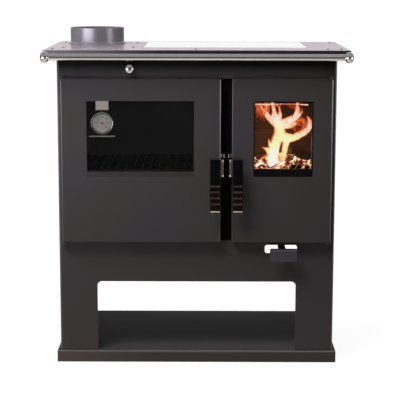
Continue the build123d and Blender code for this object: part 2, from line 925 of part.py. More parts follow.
pan_x = grown(firebox_mouth, -ash_pan_side_gap)
pan_depths = (ash_pan_front, firebox_depth - ash_pan_back_gap)
pan_heights = (mouth_heights[0], mouth_heights[0] + ash_pan_height)
handle_height = pan_heights[1] - ash_handle_drop
handle_x = (sum(pan_x) / 2 - ash_handle_width / 2, sum(pan_x) / 2 + ash_handle_width / 2)
handle_depth = ash_pan_front - ash_handle_reach
with BuildPart() as ash_pan:
    block(pan_x, pan_depths, pan_heights)
    block(
        grown(pan_x, ash_pan_rim), pan_depths, (pan_heights[1] - ash_pan_sheet, pan_heights[1])
    )
    block(
        grown(pan_x, -ash_pan_sheet),
        grown(pan_depths, -ash_pan_sheet),
        (pan_heights[0] + ash_pan_sheet, pan_heights[1]),
        mode=Mode.SUBTRACT,
    )
    with BuildSketch(facing(ash_pan_front)):
        with Locations((handle_x[0], handle_height), (handle_x[1], handle_height)):
            Circle(ash_handle_rod)
    extrude(amount=ash_handle_reach)
    with BuildSketch(Plane.YZ.offset(handle_x[0] - ash_handle_rod)):
        with Locations((front_y + handle_depth, handle_height)):
            Circle(ash_handle_rod)
    extrude(amount=handle_x[1] - handle_x[0] + 2 * ash_handle_rod)
finish(ash_pan.part, "ash_pan")

# ================================================================ primary air slide

slide_top = firebox_bottom - fit_gap
slide_bottom = slide_top - slide_thickness
lip_top = slide_bottom - fit_gap
slide_depths = (slide_front, slide_front + slide_length)
web_gap = grown(slide_depths, slide_play)
with BuildPart() as air_slide_guides:
    for inner, away in ((web_gap[0], -1), (web_gap[1], 1)):
        block(
            grown(casing_inside, -guide_inset),
            sorted((inner, inner + away * guide_sheet)),
            (lip_top - guide_sheet, firebox_bottom),
        )
        block(
            grown(casing_inside, -guide_inset),
            sorted((inner, inner - away * guide_lip)),
            (lip_top - guide_sheet, lip_top),
        )
finish(air_slide_guides.part, "air_slide_guides")

# at rest the slide's opening stands half over the casing's, so the air is half open
slide_opening = (air_opening[0] + slide_travel, air_opening[1] + slide_travel)
slide_x = (air_opening[0] - slide_travel - slide_side, slide_opening[1] + slide_side)
with BuildPart() as air_slide:
    block(slide_x, slide_depths, (slide_bottom, slide_top))
    block(slide_opening, air_opening_depths, (slide_bottom, slide_top), mode=Mode.SUBTRACT)
finish(air_slide.part, "air_slide")

lever_sides = (lever_x - lever_width / 2, lever_x + lever_width / 2)
tongue_top = lip_top - guide_sheet - fit_gap
tongue_bottom = tongue_top - lever_thickness
drop_depths = (lever_drop_depth, lever_drop_depth + lever_thickness)
reach_heights = (lever_height - lever_thickness / 2, lever_height + lever_thickness / 2)
tab_depths = (-tab_stand, -tab_stand + lever_thickness)
with BuildPart() as air_lever:
    block(lever_sides, (lever_drop_depth, lever_tongue_end), (tongue_bottom, tongue_top))
    block(
        lever_sides,
        (web_gap[0] + guide_lip + slide_play, lever_tongue_end),
        (tongue_bottom, slide_bottom),
    )
    block(lever_sides, drop_depths, (reach_heights[0], tongue_top))
    block(lever_sides, (tab_depths[0], drop_depths[1]), reach_heights)
    with BuildSketch(facing(tab_depths[1])):
        outline(
            (tab_x - tab_width / 2, tab_x + tab_width / 2),
            (reach_heights[1] + tab_rise - tab_height, reach_heights[1] + tab_rise),
            tab_corner_radius,
        )
    extrude(amount=lever_thickness)
finish(air_lever.part, "air_lever")

# ================================================================ hinges

hinge_y = front_y + hinge_depth
pin_spots = [(-hinge_x, hinge_y), (hinge_x, hinge_y)]
with BuildPart() as hinge_brackets:
    for heights in (top_lug, bottom_lug):
        with BuildSketch(Plane.XY.offset(heights[0])):
            for x, y in pin_spots:
                outline((x - lug_radius, x + lug_radius), (y, front_y))
            with Locations(*pin_spots):
                Circle(lug_radius)
                Circle(pin_radius + running_gap, mode=Mode.SUBTRACT)
        extrude(amount=lug_thickness)
finish(hinge_brackets.part, "hinge_brackets")

with BuildPart() as hinge_pins:
    for outer, downwards in ((top_lug[1], -1), (bottom_lug[0], 1)):
        with BuildSketch(Plane.XY.offset(outer)):
            with Locations(*pin_spots):
                Circle(pin_radius)
        extrude(amount=downwards * pin_length)
        with BuildSketch(Plane.XY.offset(outer)):
            with Locations(*pin_spots):
                Circle(pin_head_radius)
        extrude(amount=-downwards * pin_head_thickness)
finish(hinge_pins.part, "hinge_pins")


bush_ends = ((door_top - door_corner_radius, -1), (door_bottom + door_corner_radius, 1))


def hinge_bushes(x):
    """Two bushes welded to a door's side, clear of its round corners."""
    with BuildPart() as bushes:
        for height, downwards in bush_ends:
            with BuildSketch(Plane.XY.offset(height)):
                with Locations((x, hinge_y)):
                    Circle(hinge_bush_radius)
                    Circle(pin_radius + running_gap, mode=Mode.SUBTRACT)
            extrude(amount=downwards * hinge_bush_length)
    return bushes.part


finish(hinge_bushes(-hinge_x), "oven_hinge_bushes")
finish(hinge_bushes(hinge_x), "firebox_hinge_bushes")

# ================================================================ doors


def door_shell(door, window, corner, hinge_at, latch_side):
    """Folded door pan, open at the back, with its window and its pin and bolt holes."""
    with BuildPart() as shell:
        with BuildSketch(facing(door_back)):
            outline(door, door_heights, door_corner_radius)
        extrude(amount=door_thickness)
        fillet(shell.faces().sort_by(Axis.Y)[0].edges(), door_edge_radius)
        offset(amount=-sheet, openings=shell.faces().sort_by(Axis.Y)[-1])
        with BuildSketch(facing(pane_front)):
            outline(window, (window_bottom, window_top), corner)
        extrude(amount=sheet, mode=Mode.SUBTRACT)
        with BuildSketch(Plane.XY.offset(door_bottom)):
            with Locations((hinge_at, hinge_y)):
                Circle(pin_radius + fit_gap)
        extrude(amount=door_top - door_bottom, mode=Mode.SUBTRACT)
        with BuildSketch(Plane.YZ.offset(latch_side - sheet)):
            with Locations((hinge_y, latch_height)):
                Circle(latch_bolt_radius + running_gap)
        extrude(amount=2 * sheet, mode=Mode.SUBTRACT)
    return shell.part


def door_liner(door, mouth, window, sill, border):
    """Inner plate of a door with the two ribs that hold its rope seal."""
    with BuildPart() as liner:
        with BuildSketch(facing(door_back)):
            outline(
                grown(door, -sheet - fit_gap),
                grown(door_heights, -sheet - fit_gap),
                door_corner_radius - sheet - fit_gap,
            )
            outline(
                grown(window, -border),
                (window_bottom + sill, window_top - border),
                mode=Mode.SUBTRACT,
            )
        extrude(amount=liner_sheet)
        for inset in (rope_inset - rope_rib, rope_inset + rope_width):
            with BuildSketch(facing(door_back)):
                outline(
                    grown(mouth, inset + rope_rib),
                    grown(mouth_heights, inset + rope_rib),
                    mouth_corner_radius + inset + rope_rib,
                )
                outline(
                    grown(mouth, inset),
                    grown(mouth_heights, inset),
                    mouth_corner_radius + inset,
                    mode=Mode.SUBTRACT,
                )
            extrude(amount=-rope_rib_depth)
    return liner.part


def door_seal(mouth):
    """Rope seal laid between the liner's ribs, just clear of the door frame."""
    with BuildPart() as rope:
        with BuildSketch(facing(door_back)):
            outline(
                grown(mouth, rope_inset + rope_width),
                grown(mouth_heights, rope_inset + rope_width),
                mouth_corner_radius + rope_inset + rope_width,
            )
            outline(
                grown(mouth, rope_inset),
                grown(mouth_heights, rope_inset),
                mouth_corner_radius + rope_inset,
                mode=Mode.SUBTRACT,
            )
        extrude(amount=-(recess - fit_gap - door_back))
        fillet(rope.faces().sort_by(Axis.Y)[-1].edges(), rope_edge_radius)
    return rope.part


def door_pane(window):
    """Glass pane behind the door's face, standing in the frame's lower channel."""
    with BuildPart() as pane:
        with BuildSketch(facing(pane_back)):
            outline(
                grown(window, pane_margin),
                (window_bottom + pane_drop, window_top + pane_margin),
            )
        extrude(amount=pane_thickness)
    return pane.part


def pane_frame(window, corner, sill, border):
    """Frame behind the pane, with a channel under it and a lip in the window."""
    visible = (grown(window, -border), (window_bottom + sill, window_top - border))
    channel = (window_bottom + fit_gap, window_bottom + pane_drop)
    with BuildPart() as frame:
        with BuildSketch(facing(pane_back + frame_sheet)):
            outline(
                grown(window, pane_margin),
                (window_bottom - pane_margin, window_top + pane_margin),
            )
            outline(*visible, mode=Mode.SUBTRACT)
        extrude(amount=frame_sheet)
        with BuildSketch(facing(door_back - liner_sheet)):
            outline(*[grown(span, frame_wall) for span in visible])
            outline(*visible, mode=Mode.SUBTRACT)
        extrude(amount=door_back - liner_sheet - pane_back)
        block(grown(window, -fit_gap), (pane_front, pane_back + frame_sheet), channel)
        with BuildSketch(facing(pane_front)) as lip:
            if border > 0:
                outline(
                    grown(window, -fit_gap),
                    grown((window_bottom, window_top), -fit_gap),
                    corner - fit_gap,
                )
                outline(*visible, corner, mode=Mode.SUBTRACT)
            else:
                outline(grown(window, -fit_gap), (channel[0], visible[1][0]))
                fillet(lip.vertices().group_by(Axis.Y)[0], corner - fit_gap)
        extrude(amount=sheet - lip_back)
    return frame.part


oven_pan = (oven_door, oven_window, window_corner_radius, -hinge_x, oven_door_right)
finish(door_shell(*oven_pan), "oven_door_shell")
finish(door_pane(oven_window), "oven_door_glass")
finish(pane_frame(oven_window, window_corner_radius, oven_sill, 0), "oven_glass_frame")
finish(door_seal(oven_mouth), "oven_door_seal")

# the oven liner also has the slot that the thermometer hangs in
hanger_x = (thermometer_x - hanger_width / 2, thermometer_x + hanger_width / 2)
with BuildPart() as oven_door_liner:
    add(door_liner(oven_door, oven_mouth, oven_window, oven_sill, 0))
    block(
        grown(hanger_x, hanger_play),
        (door_back - liner_sheet, door_back),
        grown((hanger_top - hanger_sheet, hanger_top), hanger_play / 2),
        mode=Mode.SUBTRACT,
    )
finish(oven_door_liner.part, "oven_door_liner")

fire_pan = (firebox_door, fire_window, fire_corner_radius, hinge_x, firebox_door_left)
finish(door_shell(*fire_pan), "firebox_door_shell")
finish(door_pane(fire_window), "firebox_door_glass")
finish(
    pane_frame(fire_window, fire_corner_radius, fire_sill, fire_border), "firebox_glass_frame"
)
finish(door_seal(firebox_mouth), "firebox_door_seal")
finish(
    door_liner(firebox_door, firebox_mouth, fire_window, fire_sill, fire_border),
    "firebox_door_liner",
)

# ================================================================ latches

keeper_bottom = keeper_height - keeper_pin_radius
keeper_pin_depths = (keeper_depth - keeper_pin_radius, keeper_depth + keeper_pin_radius)
with BuildPart() as latch_keeper:
    block(
        grown((gap_centre, gap_centre), keeper_foot_width / 2),
        (recess - keeper_foot_thickness, recess),
        grown((keeper_height, keeper_height), keeper_foot_height / 2),
    )
    block(
        grown((gap_centre, gap_centre), keeper_web / 2),
        (keeper_pin_depths[0], recess - keeper_foot_thickness),
        grown((keeper_height, keeper_height), keeper_web_height / 2),
    )
    with BuildSketch(Plane.YZ.offset(gap_centre - keeper_pin_reach)):
        with Locations((front_y + keeper_depth, keeper_height)):
            Circle(keeper_pin_radius)
    extrude(amount=2 * keeper_pin_reach)
finish(latch_keeper.part, "latch_keeper")

plate_x = (oven_door_right + latch_plate_gap, oven_door_right + latch_plate_gap + latch_plate)
grip_x = (oven_door_right - grip_side_gap - grip_width, oven_door_right - grip_side_gap)
bar_x = grown(grip_x, -grip_side_gap)
bar_back = door_front - grip_stand
bar_front = bar_back - bar_thickness
grip_front = bar_front - grip_thickness
hook_top = keeper_bottom - hook_gap
hook_back = recess - hook_play
hook_front = hook_back - hook_tip
throat = hook_top - hook_throat
with BuildPart() as oven_latch_lever:
    with BuildSketch(Plane.YZ.offset(plate_x[0])):
        with Locations((hinge_y, latch_height)):
            Circle(latch_eye_radius)
        with BuildLine():
            Polyline(
                *[
                    (front_y + depth, z)
                    for depth, z in (
                        (hinge_depth, latch_height + latch_eye_radius),
                        (bar_front, grip_top),
                        (bar_front, latch_arm_bottom),
                        (bar_front + latch_arm_width, latch_arm_bottom),
                        (hinge_depth, throat - hook_height),
                        (hook_back, throat - hook_height),
                        (hook_back, hook_top),
                        (hook_front, hook_top),
                        (hook_front, throat),
                        (hinge_depth + latch_eye_radius, throat),
                        (hinge_depth + latch_eye_radius, latch_height),
                    )
                ],
                close=True,
            )
        make_face()
        with Locations((hinge_y, latch_height)):
            Circle(latch_bolt_radius + running_gap, mode=Mode.SUBTRACT)
    extrude(amount=latch_plate)
    block((bar_x[0], plate_x[1]), (bar_front, bar_back), (latch_arm_bottom, grip_top))
    block(bar_x, (bar_front, bar_back), (grip_bottom - grip_foot, grip_top))
    block(bar_x, (grip_front, bar_back), (grip_bottom - grip_foot, grip_bottom))
finish(oven_latch_lever.part, "oven_latch_lever")

with BuildPart() as oven_latch_grip:
    block(grip_x, (grip_front, bar_front), (grip_bottom, grip_top))
    fillet(oven_latch_grip.faces().sort_by(Axis.Y)[0].edges(), grip_edge_radius)
    with BuildSketch(facing(bar_front)):
        for number in range(grip_slots):
            slot_height = grip_slot_first + number * grip_slot_pitch
            with Locations((sum(grip_x) / 2, slot_height)):
                SlotOverall(grip_slot_width, grip_slot_height)
    extrude(amount=grip_thickness, mode=Mode.SUBTRACT)
finish(oven_latch_grip.part, "oven_latch_grip")

bolt_end = plate_x[1] + bolt_play + bolt_head_thickness
nut_x = oven_door_right - sheet - bolt_nut_thickness
with BuildPart() as oven_latch_pivot:
    with BuildSketch(Plane.YZ.offset(nut_x)):
        with Locations((hinge_y, latch_height)):
            Circle(latch_bolt_radius)
    extrude(amount=bolt_end - nut_x)
    with BuildSketch(Plane.YZ.offset(nut_x)):
        with Locations((hinge_y, latch_height)):
            RegularPolygon(bolt_nut_radius, 6)
    extrude(amount=bolt_nut_thickness)
    with BuildSketch(Plane.YZ.offset(oven_door_right)):
        with Locations((hinge_y, latch_height)):
            Circle(bolt_collar_radius)
    extrude(amount=latch_plate_gap - bolt_play)
    with BuildSketch(Plane.YZ.offset(plate_x[1] + bolt_play)):
        with Locations((hinge_y, latch_height)):
            Circle(bolt_head_radius)
    extrude(amount=bolt_head_thickness)
finish(oven_latch_pivot.part, "oven_latch_pivot")

for piece, name in (
    (oven_latch_lever.part, "firebox_latch_lever"),
    (oven_latch_grip.part, "firebox_latch_grip"),
    (oven_latch_pivot.part, "firebox_latch_pivot"),
):
    with BuildPart() as mirrored:
        add(piece)
        mirror(about=Plane.YZ.offset(gap_centre), mode=Mode.REPLACE)
    finish(mirrored.part, name)

# ================================================================ oven thermometer

dial_spot = (thermometer_x, thermometer_height)
case_back = door_back
case_front = case_back - case_depth
lens_front = case_front + case_wall
lens_back = lens_front + lens_thickness
dial_front = lens_back + dial_room
inner_radius = bezel_radius - case_wall

with BuildPart() as thermometer_case:
    with BuildSketch(facing(case_back)):
        with Locations(dial_spot):
            Circle(bezel_radius)
    extrude(amount=case_depth)
    with BuildSketch(facing(case_back - case_wall)):
        with Locations(dial_spot):
            Circle(inner_radius)
    extrude(amount=case_depth - 2 * case_wall, mode=Mode.SUBTRACT)
    with BuildSketch(facing(case_back - case_wall)):
        with Locations(dial_spot):
            Circle(bezel_radius - bezel_width)
    extrude(amount=case_depth - case_wall, mode=Mode.SUBTRACT)
    # boss that carries the needle's pin
    with BuildSketch(facing(case_back - case_wall)):
        with Locations(dial_spot):
            Circle(3 * needle_pin_radius)
    extrude(amount=case_back - case_wall - dial_front - dial_thickness)
    with BuildSketch(facing(case_back - case_wall)):
        with Locations(dial_spot):
            Circle(needle_pin_radius + running_gap)
    extrude(amount=case_depth, mode=Mode.SUBTRACT)
finish(thermometer_case.part, "thermometer_case")

with BuildPart() as thermometer_dial:
    with BuildSketch(facing(dial_front + dial_thickness)):
        with Locations(dial_spot):
            Circle(dial_radius)
            Circle(needle_pin_radius + running_gap, mode=Mode.SUBTRACT)
    extrude(amount=dial_thickness)
    # rim that seats the dial on the wall of the case
    with BuildSketch(facing(dial_front + dial_thickness)):
        with Locations(dial_spot):
            Circle(inner_radius)
            Circle(dial_radius - case_wall, mode=Mode.SUBTRACT)
    extrude(amount=-(case_back - case_wall - dial_front - dial_thickness))
finish(thermometer_dial.part, "thermometer_dial")

with BuildPart() as thermometer_lens:
    with BuildSketch(facing(lens_back)):
        with Locations(dial_spot):
            Circle(inner_radius)
    extrude(amount=lens_thickness)
finish(thermometer_lens.part, "thermometer_lens")

needle_back = dial_front - needle_play
needle_plane = Plane(
    origin=(thermometer_x, front_y + needle_back, thermometer_height),
    x_dir=Vector(1, 0, 0).rotate(Axis.Y, -needle_angle),
    z_dir=(0, -1, 0),
)
with BuildPart() as thermometer_needle:
    with BuildSketch(needle_plane):
        with BuildLine():
            Polyline(
                (-needle_tail, -needle_width / 2),
                (needle_length, 0),
                (-needle_tail, needle_width / 2),
                close=True,
            )
        make_face()
        Circle(needle_width)
    extrude(amount=needle_thickness)
    with BuildSketch(facing(needle_back)):
        with Locations(dial_spot):
            Circle(needle_pin_radius)
    extrude(amount=-(case_back - case_wall - needle_back))
finish(thermometer_needle.part, "thermometer_needle")

strap_depths = (door_back, door_back + hanger_sheet)
hook_depths = (door_back - liner_sheet - hanger_play - hanger_sheet, strap_depths[1])
foot_x = (thermometer_x - foot_width / 2, thermometer_x + foot_width / 2)
with BuildPart() as thermometer_bracket:
    block(hanger_x, strap_depths, (hanger_bottom, hanger_top))
    block(
        (thermometer_x - hanger_neck / 2, thermometer_x + hanger_neck / 2),
        strap_depths,
        (foot_height, hanger_bottom),
    )
    block(hanger_x, hook_depths, (hanger_top - hanger_sheet, hanger_top))
    block(
        hanger_x,
        (hook_depths[0], hook_depths[0] + hanger_sheet),
        (hanger_top - hanger_hook, hanger_top),
    )
    block(
        foot_x,
        (pane_back, strap_depths[1]),
        (foot_height - hanger_sheet, foot_height),
    )
finish(thermometer_bracket.part, "thermometer_bracket")
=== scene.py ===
"""Looks of the wood cookstove: finishes, turned fittings, dial, rope seals, fire and studio.

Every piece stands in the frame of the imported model: metres, front towards -Y, up +Z.
"Depth" is measured back from the outer face of the front panel.
"""

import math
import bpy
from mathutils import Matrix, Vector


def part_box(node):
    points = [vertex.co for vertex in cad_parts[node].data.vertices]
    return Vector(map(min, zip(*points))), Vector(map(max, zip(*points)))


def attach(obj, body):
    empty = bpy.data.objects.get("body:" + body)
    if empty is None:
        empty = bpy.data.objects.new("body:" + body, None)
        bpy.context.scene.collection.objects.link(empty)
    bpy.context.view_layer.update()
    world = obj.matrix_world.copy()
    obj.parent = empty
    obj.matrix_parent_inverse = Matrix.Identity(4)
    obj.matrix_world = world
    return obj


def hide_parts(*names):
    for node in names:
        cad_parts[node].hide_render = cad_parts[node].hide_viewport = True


bl_info = {
    "name": "Wood cookstove looks",
    "version": (1, 0, 0),
    "blender": (4, 5, 0),
    "location": "3D View > Sidebar > Cookstove",
    "description": "Finishes, fittings, fire and studio for the packed wood cookstove",
    "category": "Object",
}

from functools import partial, reduce

import bmesh
import bpy
import numpy as np
from bpy.props import FloatProperty, FloatVectorProperty, IntProperty, PointerProperty
from mathutils import Matrix, Vector

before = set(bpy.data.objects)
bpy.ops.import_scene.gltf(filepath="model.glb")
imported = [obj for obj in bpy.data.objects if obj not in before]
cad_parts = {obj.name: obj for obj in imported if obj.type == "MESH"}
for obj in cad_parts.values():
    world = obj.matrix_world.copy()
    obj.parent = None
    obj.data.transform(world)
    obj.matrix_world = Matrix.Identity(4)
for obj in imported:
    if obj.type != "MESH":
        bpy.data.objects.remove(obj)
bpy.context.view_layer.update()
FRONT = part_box("front_panel")[0].y
TURN = 2 * math.pi

# vertices closer than this are one
MERGE_WITHIN = 1e-7

# ---------------------------------------------------------------- sizes and colours


class CookstoveFinishes(bpy.types.PropertyGroup):
    """Colours and gloss of the stove's own surfaces."""

    paint: FloatVectorProperty(
        name="Stove paint",
        description="Satin anthracite paint of the body and the doors",
        subtype="COLOR",
        default=(0.0310, 0.0278, 0.0292),
    )
    paint_roughness: FloatProperty(
        name="Paint roughness",
        description="How dull the satin paint is",
        default=0.38,
        min=0.0,
        max=1.0,
    )
    plinth: FloatVectorProperty(
        name="Plinth paint",
        description="Slightly browner paint of the plinth tray",
        subtype="COLOR",
        default=(0.0260, 0.0240, 0.0240),
    )
    collar: FloatVectorProperty(
        name="Collar paint",
        description="Metallic graphite paint of the flue collar",
        subtype="COLOR",
        default=(0.355, 0.332, 0.378),
    )
    matt_black: FloatVectorProperty(
        name="Matt black",
        description="Heat-proof black of the inner plates",
        subtype="COLOR",
        default=(0.0022, 0.0022, 0.0024),
    )
    hob: FloatVectorProperty(
        name="Hob enamel",
        description="Glossy enamel of the top frame",
        subtype="COLOR",
        default=(0.270, 0.225, 0.250),
    )
    brick: FloatVectorProperty(
        name="Fire brick",
        description="Brown of the sooty firebox bricks",
        subtype="COLOR",
        default=(0.046, 0.023, 0.020),
    )
    chrome: FloatVectorProperty(
        name="Chrome",
        description="Tint of the polished metal",
        subtype="COLOR",
        default=(0.80, 0.79, 0.80),
    )


class CookstoveFittings(bpy.types.PropertyGroup):
    """Sizes of the small turned and printed pieces."""

    screw_recess: FloatProperty(
        name="Screw recess",
        description="Width across the flats of the hexagon in a screw head",
        default=0.0030,
        unit="LENGTH",
    )
    rope_strands: IntProperty(
        name="Rope strands",
        description="Strands that show side by side round the rope seal",
        default=6,
        min=3,
        max=12,
    )
    rope_lay: FloatProperty(
        name="Rope lay",
        description="Length of one full turn of a strand",
        default=0.022,
        unit="LENGTH",
    )
    dial_low: IntProperty(
        name="Dial start",
        description="First number on the oven dial",
        default=0,
    )
    dial_step: IntProperty(
        name="Dial step",
        description="Difference between two numbers on the oven dial",
        default=50,
    )


class CookstoveFire(bpy.types.PropertyGroup):
    """Brightness and sizes of the fire."""

    flame_strength: FloatProperty(
        name="Flame strength",
        description="Brightness of the hottest part of a flame",
        default=1.05,
        min=0.0,
    )
    ember_strength: FloatProperty(
        name="Ember strength",
        description="Brightness of the cracks in the embers",
        default=2.2,
        min=0.0,
    )
    glow_power: FloatProperty(
        name="Glow",
        description="Power of the lamp that stands for the flames' light on the bricks",
        default=1.5,
        unit="POWER",
    )
    log_radius: FloatProperty(
        name="Log radius",
        description="Radius of the thickest log",
        default=0.024,
        unit="LENGTH",
    )
    ember_size: FloatProperty(
        name="Ember size",
        description="Radius of a middling ember",
        default=0.009,
        unit="LENGTH",
    )


class CookstoveStudio(bpy.types.PropertyGroup):
    """Camera and light."""

    camera_place: FloatVectorProperty(
        name="Camera place",
        description="Where the camera stands",
        subtype="TRANSLATION",
        default=(0.0217, -3.7301, 1.0602),
    )
    camera_pitch: FloatProperty(
        name="Camera pitch",
        description="How far the camera looks down",
        subtype="ANGLE",
        default=math.radians(9.724),
    )
    camera_yaw: FloatProperty(
        name="Camera yaw",
        description="How far the camera turns to the left",
        subtype="ANGLE",
        default=math.radians(0.206),
    )
    camera_roll: FloatProperty(
        name="Camera roll",
        description="How far the camera leans",
        subtype="ANGLE",
        default=math.radians(0.113),
    )
    focal_length: FloatProperty(
        name="Focal length",
        description="Focal length in millimetres on a 36 mm sensor",
        default=119.36,
    )
    room_level: FloatProperty(
        name="Room level",
        description="Brightness of the dark end of the studio, where the backdrop is 1",
        default=0.03,
        min=0.0,
    )
    key_power: FloatProperty(
        name="Key lamp",
        description="Power of the soft lamp above the front, a little to the left",
        default=155.0,
        unit="POWER",
    )
    left_power: FloatProperty(
        name="Left softbox",
        description="Power of the softbox on the left, which only mirrors see",
        default=24.0,
        unit="POWER",
    )
    right_power: FloatProperty(
        name="Right softbox",
        description="Power of the softbox on the right, which only mirrors see",
        default=12.5,
        unit="POWER",
    )
    card_power: FloatProperty(
        name="Low card",
        description="Power of the low card, which only the CARD_RECEIVERS mirror",
        default=2.4,
        unit="POWER",
    )
    side_power: FloatProperty(
        name="Side lamps",
        description="Power of each of the two soft lamps beside the stove, for its sides",
        default=60.0,
        unit="POWER",
    )
    floor_white: FloatProperty(
        name="Floor white",
        description="White that the floor shows to the camera besides the light that falls on it",
        default=0.86,
        min=0.0,
        max=1.0,
    )


def settings(group):
    """The scene's settings for one group: finishes, fittings, fire or studio."""
    return getattr(bpy.context.scene, f"cookstove_{group}")


# ---------------------------------------------------------------- surfaces


def smooth_track(knots, count):
    """Rows spread evenly along a curve through the knots.

    Each stretch is a cubic between two knots whose slope at a knot is half the step between
    that knot's neighbours. A knot may hold any numbers, such as a place and a width.
    """
    knots = np.asarray(knots, float)
    padded = np.vstack([2 * knots[0] - knots[1], knots, 2 * knots[-1] - knots[-2]])
    place = np.linspace(0, len(knots) - 1, count)
    start = np.minimum(place.astype(int), len(knots) - 2)
    t = (place - start)[:, None]
    a, b, c, d = (padded[start + step] for step in range(4))
    cubic = (3 * b - a - 3 * c + d) * t**3
    square = (2 * a - 5 * b + 4 * c - d) * t**2
    return 0.5 * (2 * b + (c - a) * t + square + cubic)


def grid_faces(rows, columns, ring_rows=False, ring_columns=False):
    """Corner numbers of the quads of a grid, and the same corners as (row, column) pairs."""
    row, column = np.meshgrid(
        np.arange(rows - (not ring_rows)), np.arange(columns - (not ring_columns)), indexing="ij"
    )
    corner_rows = np.stack([row, row + 1, row + 1, row], -1).reshape(-1, 4)
    corner_columns = np.stack([column, column, column + 1, column + 1], -1).reshape(-1, 4)
    numbers = (corner_rows % rows) * columns + corner_columns % columns
    return numbers, corner_rows, corner_columns


def surface_mesh(name, grids, ring_rows=False, ring_columns=False, closed=False):
    """One mesh of several grids of points, each rows by columns by xyz.

    The UV map runs from 0 to 1 along the rows and along the columns of each grid. A closed
    mesh has its doubles merged, which shuts its poles, and its faces turned outwards.
    """
    points, faces, corners = [], [], []
    first = 0
    for grid in grids:
        rows, columns = grid.shape[:2]
        numbers, corner_rows, corner_columns = grid_faces(rows, columns, ring_rows, ring_columns)
        points.append(grid.reshape(-1, 3))
        faces.append(numbers + first)
        along = corner_rows / (rows - (not ring_rows))
        across = corner_columns / (columns - (not ring_columns))
        corners.append(np.stack([across, along], -1).reshape(-1, 2))
        first += rows * columns
    mesh = bpy.data.meshes.new(name)
    mesh.from_pydata(np.vstack(points).tolist(), [], np.vstack(faces).tolist())
    mesh.uv_layers.new(name="UVMap").data.foreach_set("uv", np.vstack(corners).ravel())
    mesh.polygons.foreach_set("use_smooth", np.ones(len(mesh.polygons), bool))
    if closed:
        work = bmesh.new()
        work.from_mesh(mesh)
        bmesh.ops.remove_doubles(work, verts=work.verts, dist=MERGE_WITHIN)
        bmesh.ops.recalc_face_normals(work, faces=work.faces)
        work.to_mesh(mesh)
        work.free()
    mesh.update()
    return mesh


def new_piece(name, mesh, finish, body, stands_for=()):
    """Puts a finished mesh into the scene as a piece that rides on a body."""
    piece = bpy.data.objects.new(name, mesh)
    bpy.context.scene.collection.objects.link(piece)
    mesh.materials.append(finish)
    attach(piece, body)
    if stands_for:
        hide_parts(*stands_for)
    return piece


def round_piece(name, grids, finish, body, stands_for=(), ring_rows=False):
    """A piece of surfaces whose grid columns meet again, as those of a turned one do."""
    mesh = surface_mesh(name, grids, ring_rows=ring_rows, ring_columns=True, closed=True)
    return new_piece(name, mesh, finish, body, stands_for)


def swept_round(profile, place, along, rounds):
    """Grid of a turned piece: its (distance along, radius) points swept round an axis.

    A point is the place, plus the distance along the axis, plus the radius times the cosine
    and sine of the turn in the two directions square to the axis.
    """
    profile = np.asarray(profile, float)
    along = np.asarray(along, float)
    side = np.array([0.0, 0.0, 1.0]) if abs(along[2]) < 0.5 else np.array([1.0, 0.0, 0.0])
    reach = np.maximum(profile[:, 1], 0.0)
    return (
        np.asarray(place, float)
        + profile[:, 0, None, None] * along
        + reach[:, None, None] * spokes(side, np.cross(along, side), rounds)
    )


def spokes(side, other, rounds):
    """Directions all round an axis: cosine of the turn times one side plus sine times the other."""
    angle = np.linspace(0, TURN, rounds, endpoint=False)[:, None]
    return np.cos(angle) * side + np.sin(angle) * other


def loose_places(node, reach=0.012):
    """Centre of each solid of a CAD node whose small solids stand further apart than the reach."""
    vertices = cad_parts[node].data.vertices
    points = np.empty(3 * len(vertices), np.float32)
    vertices.foreach_get("co", points)
    points = points.reshape(-1, 3).astype(float)
    places = []
    while len(points):
        near = np.linalg.norm(points - points[0], axis=1) < reach
        places.append((points[near].min(0) + points[near].max(0)) / 2)
        points = points[~near]
    return places


# ---------------------------------------------------------------- finishes

WHITE = (1.0, 1.0, 1.0)
BLACK = (0.0, 0.0, 0.0)

# the middle of a noise pattern, where nearly all of it lies
CLOUDS = (0.3, 0.7)


def socket_name(word):
    """The socket that a keyword stands for: its words with capitals and spaces."""
    return word.replace("_", " ").title().replace("Ior", "IOR")


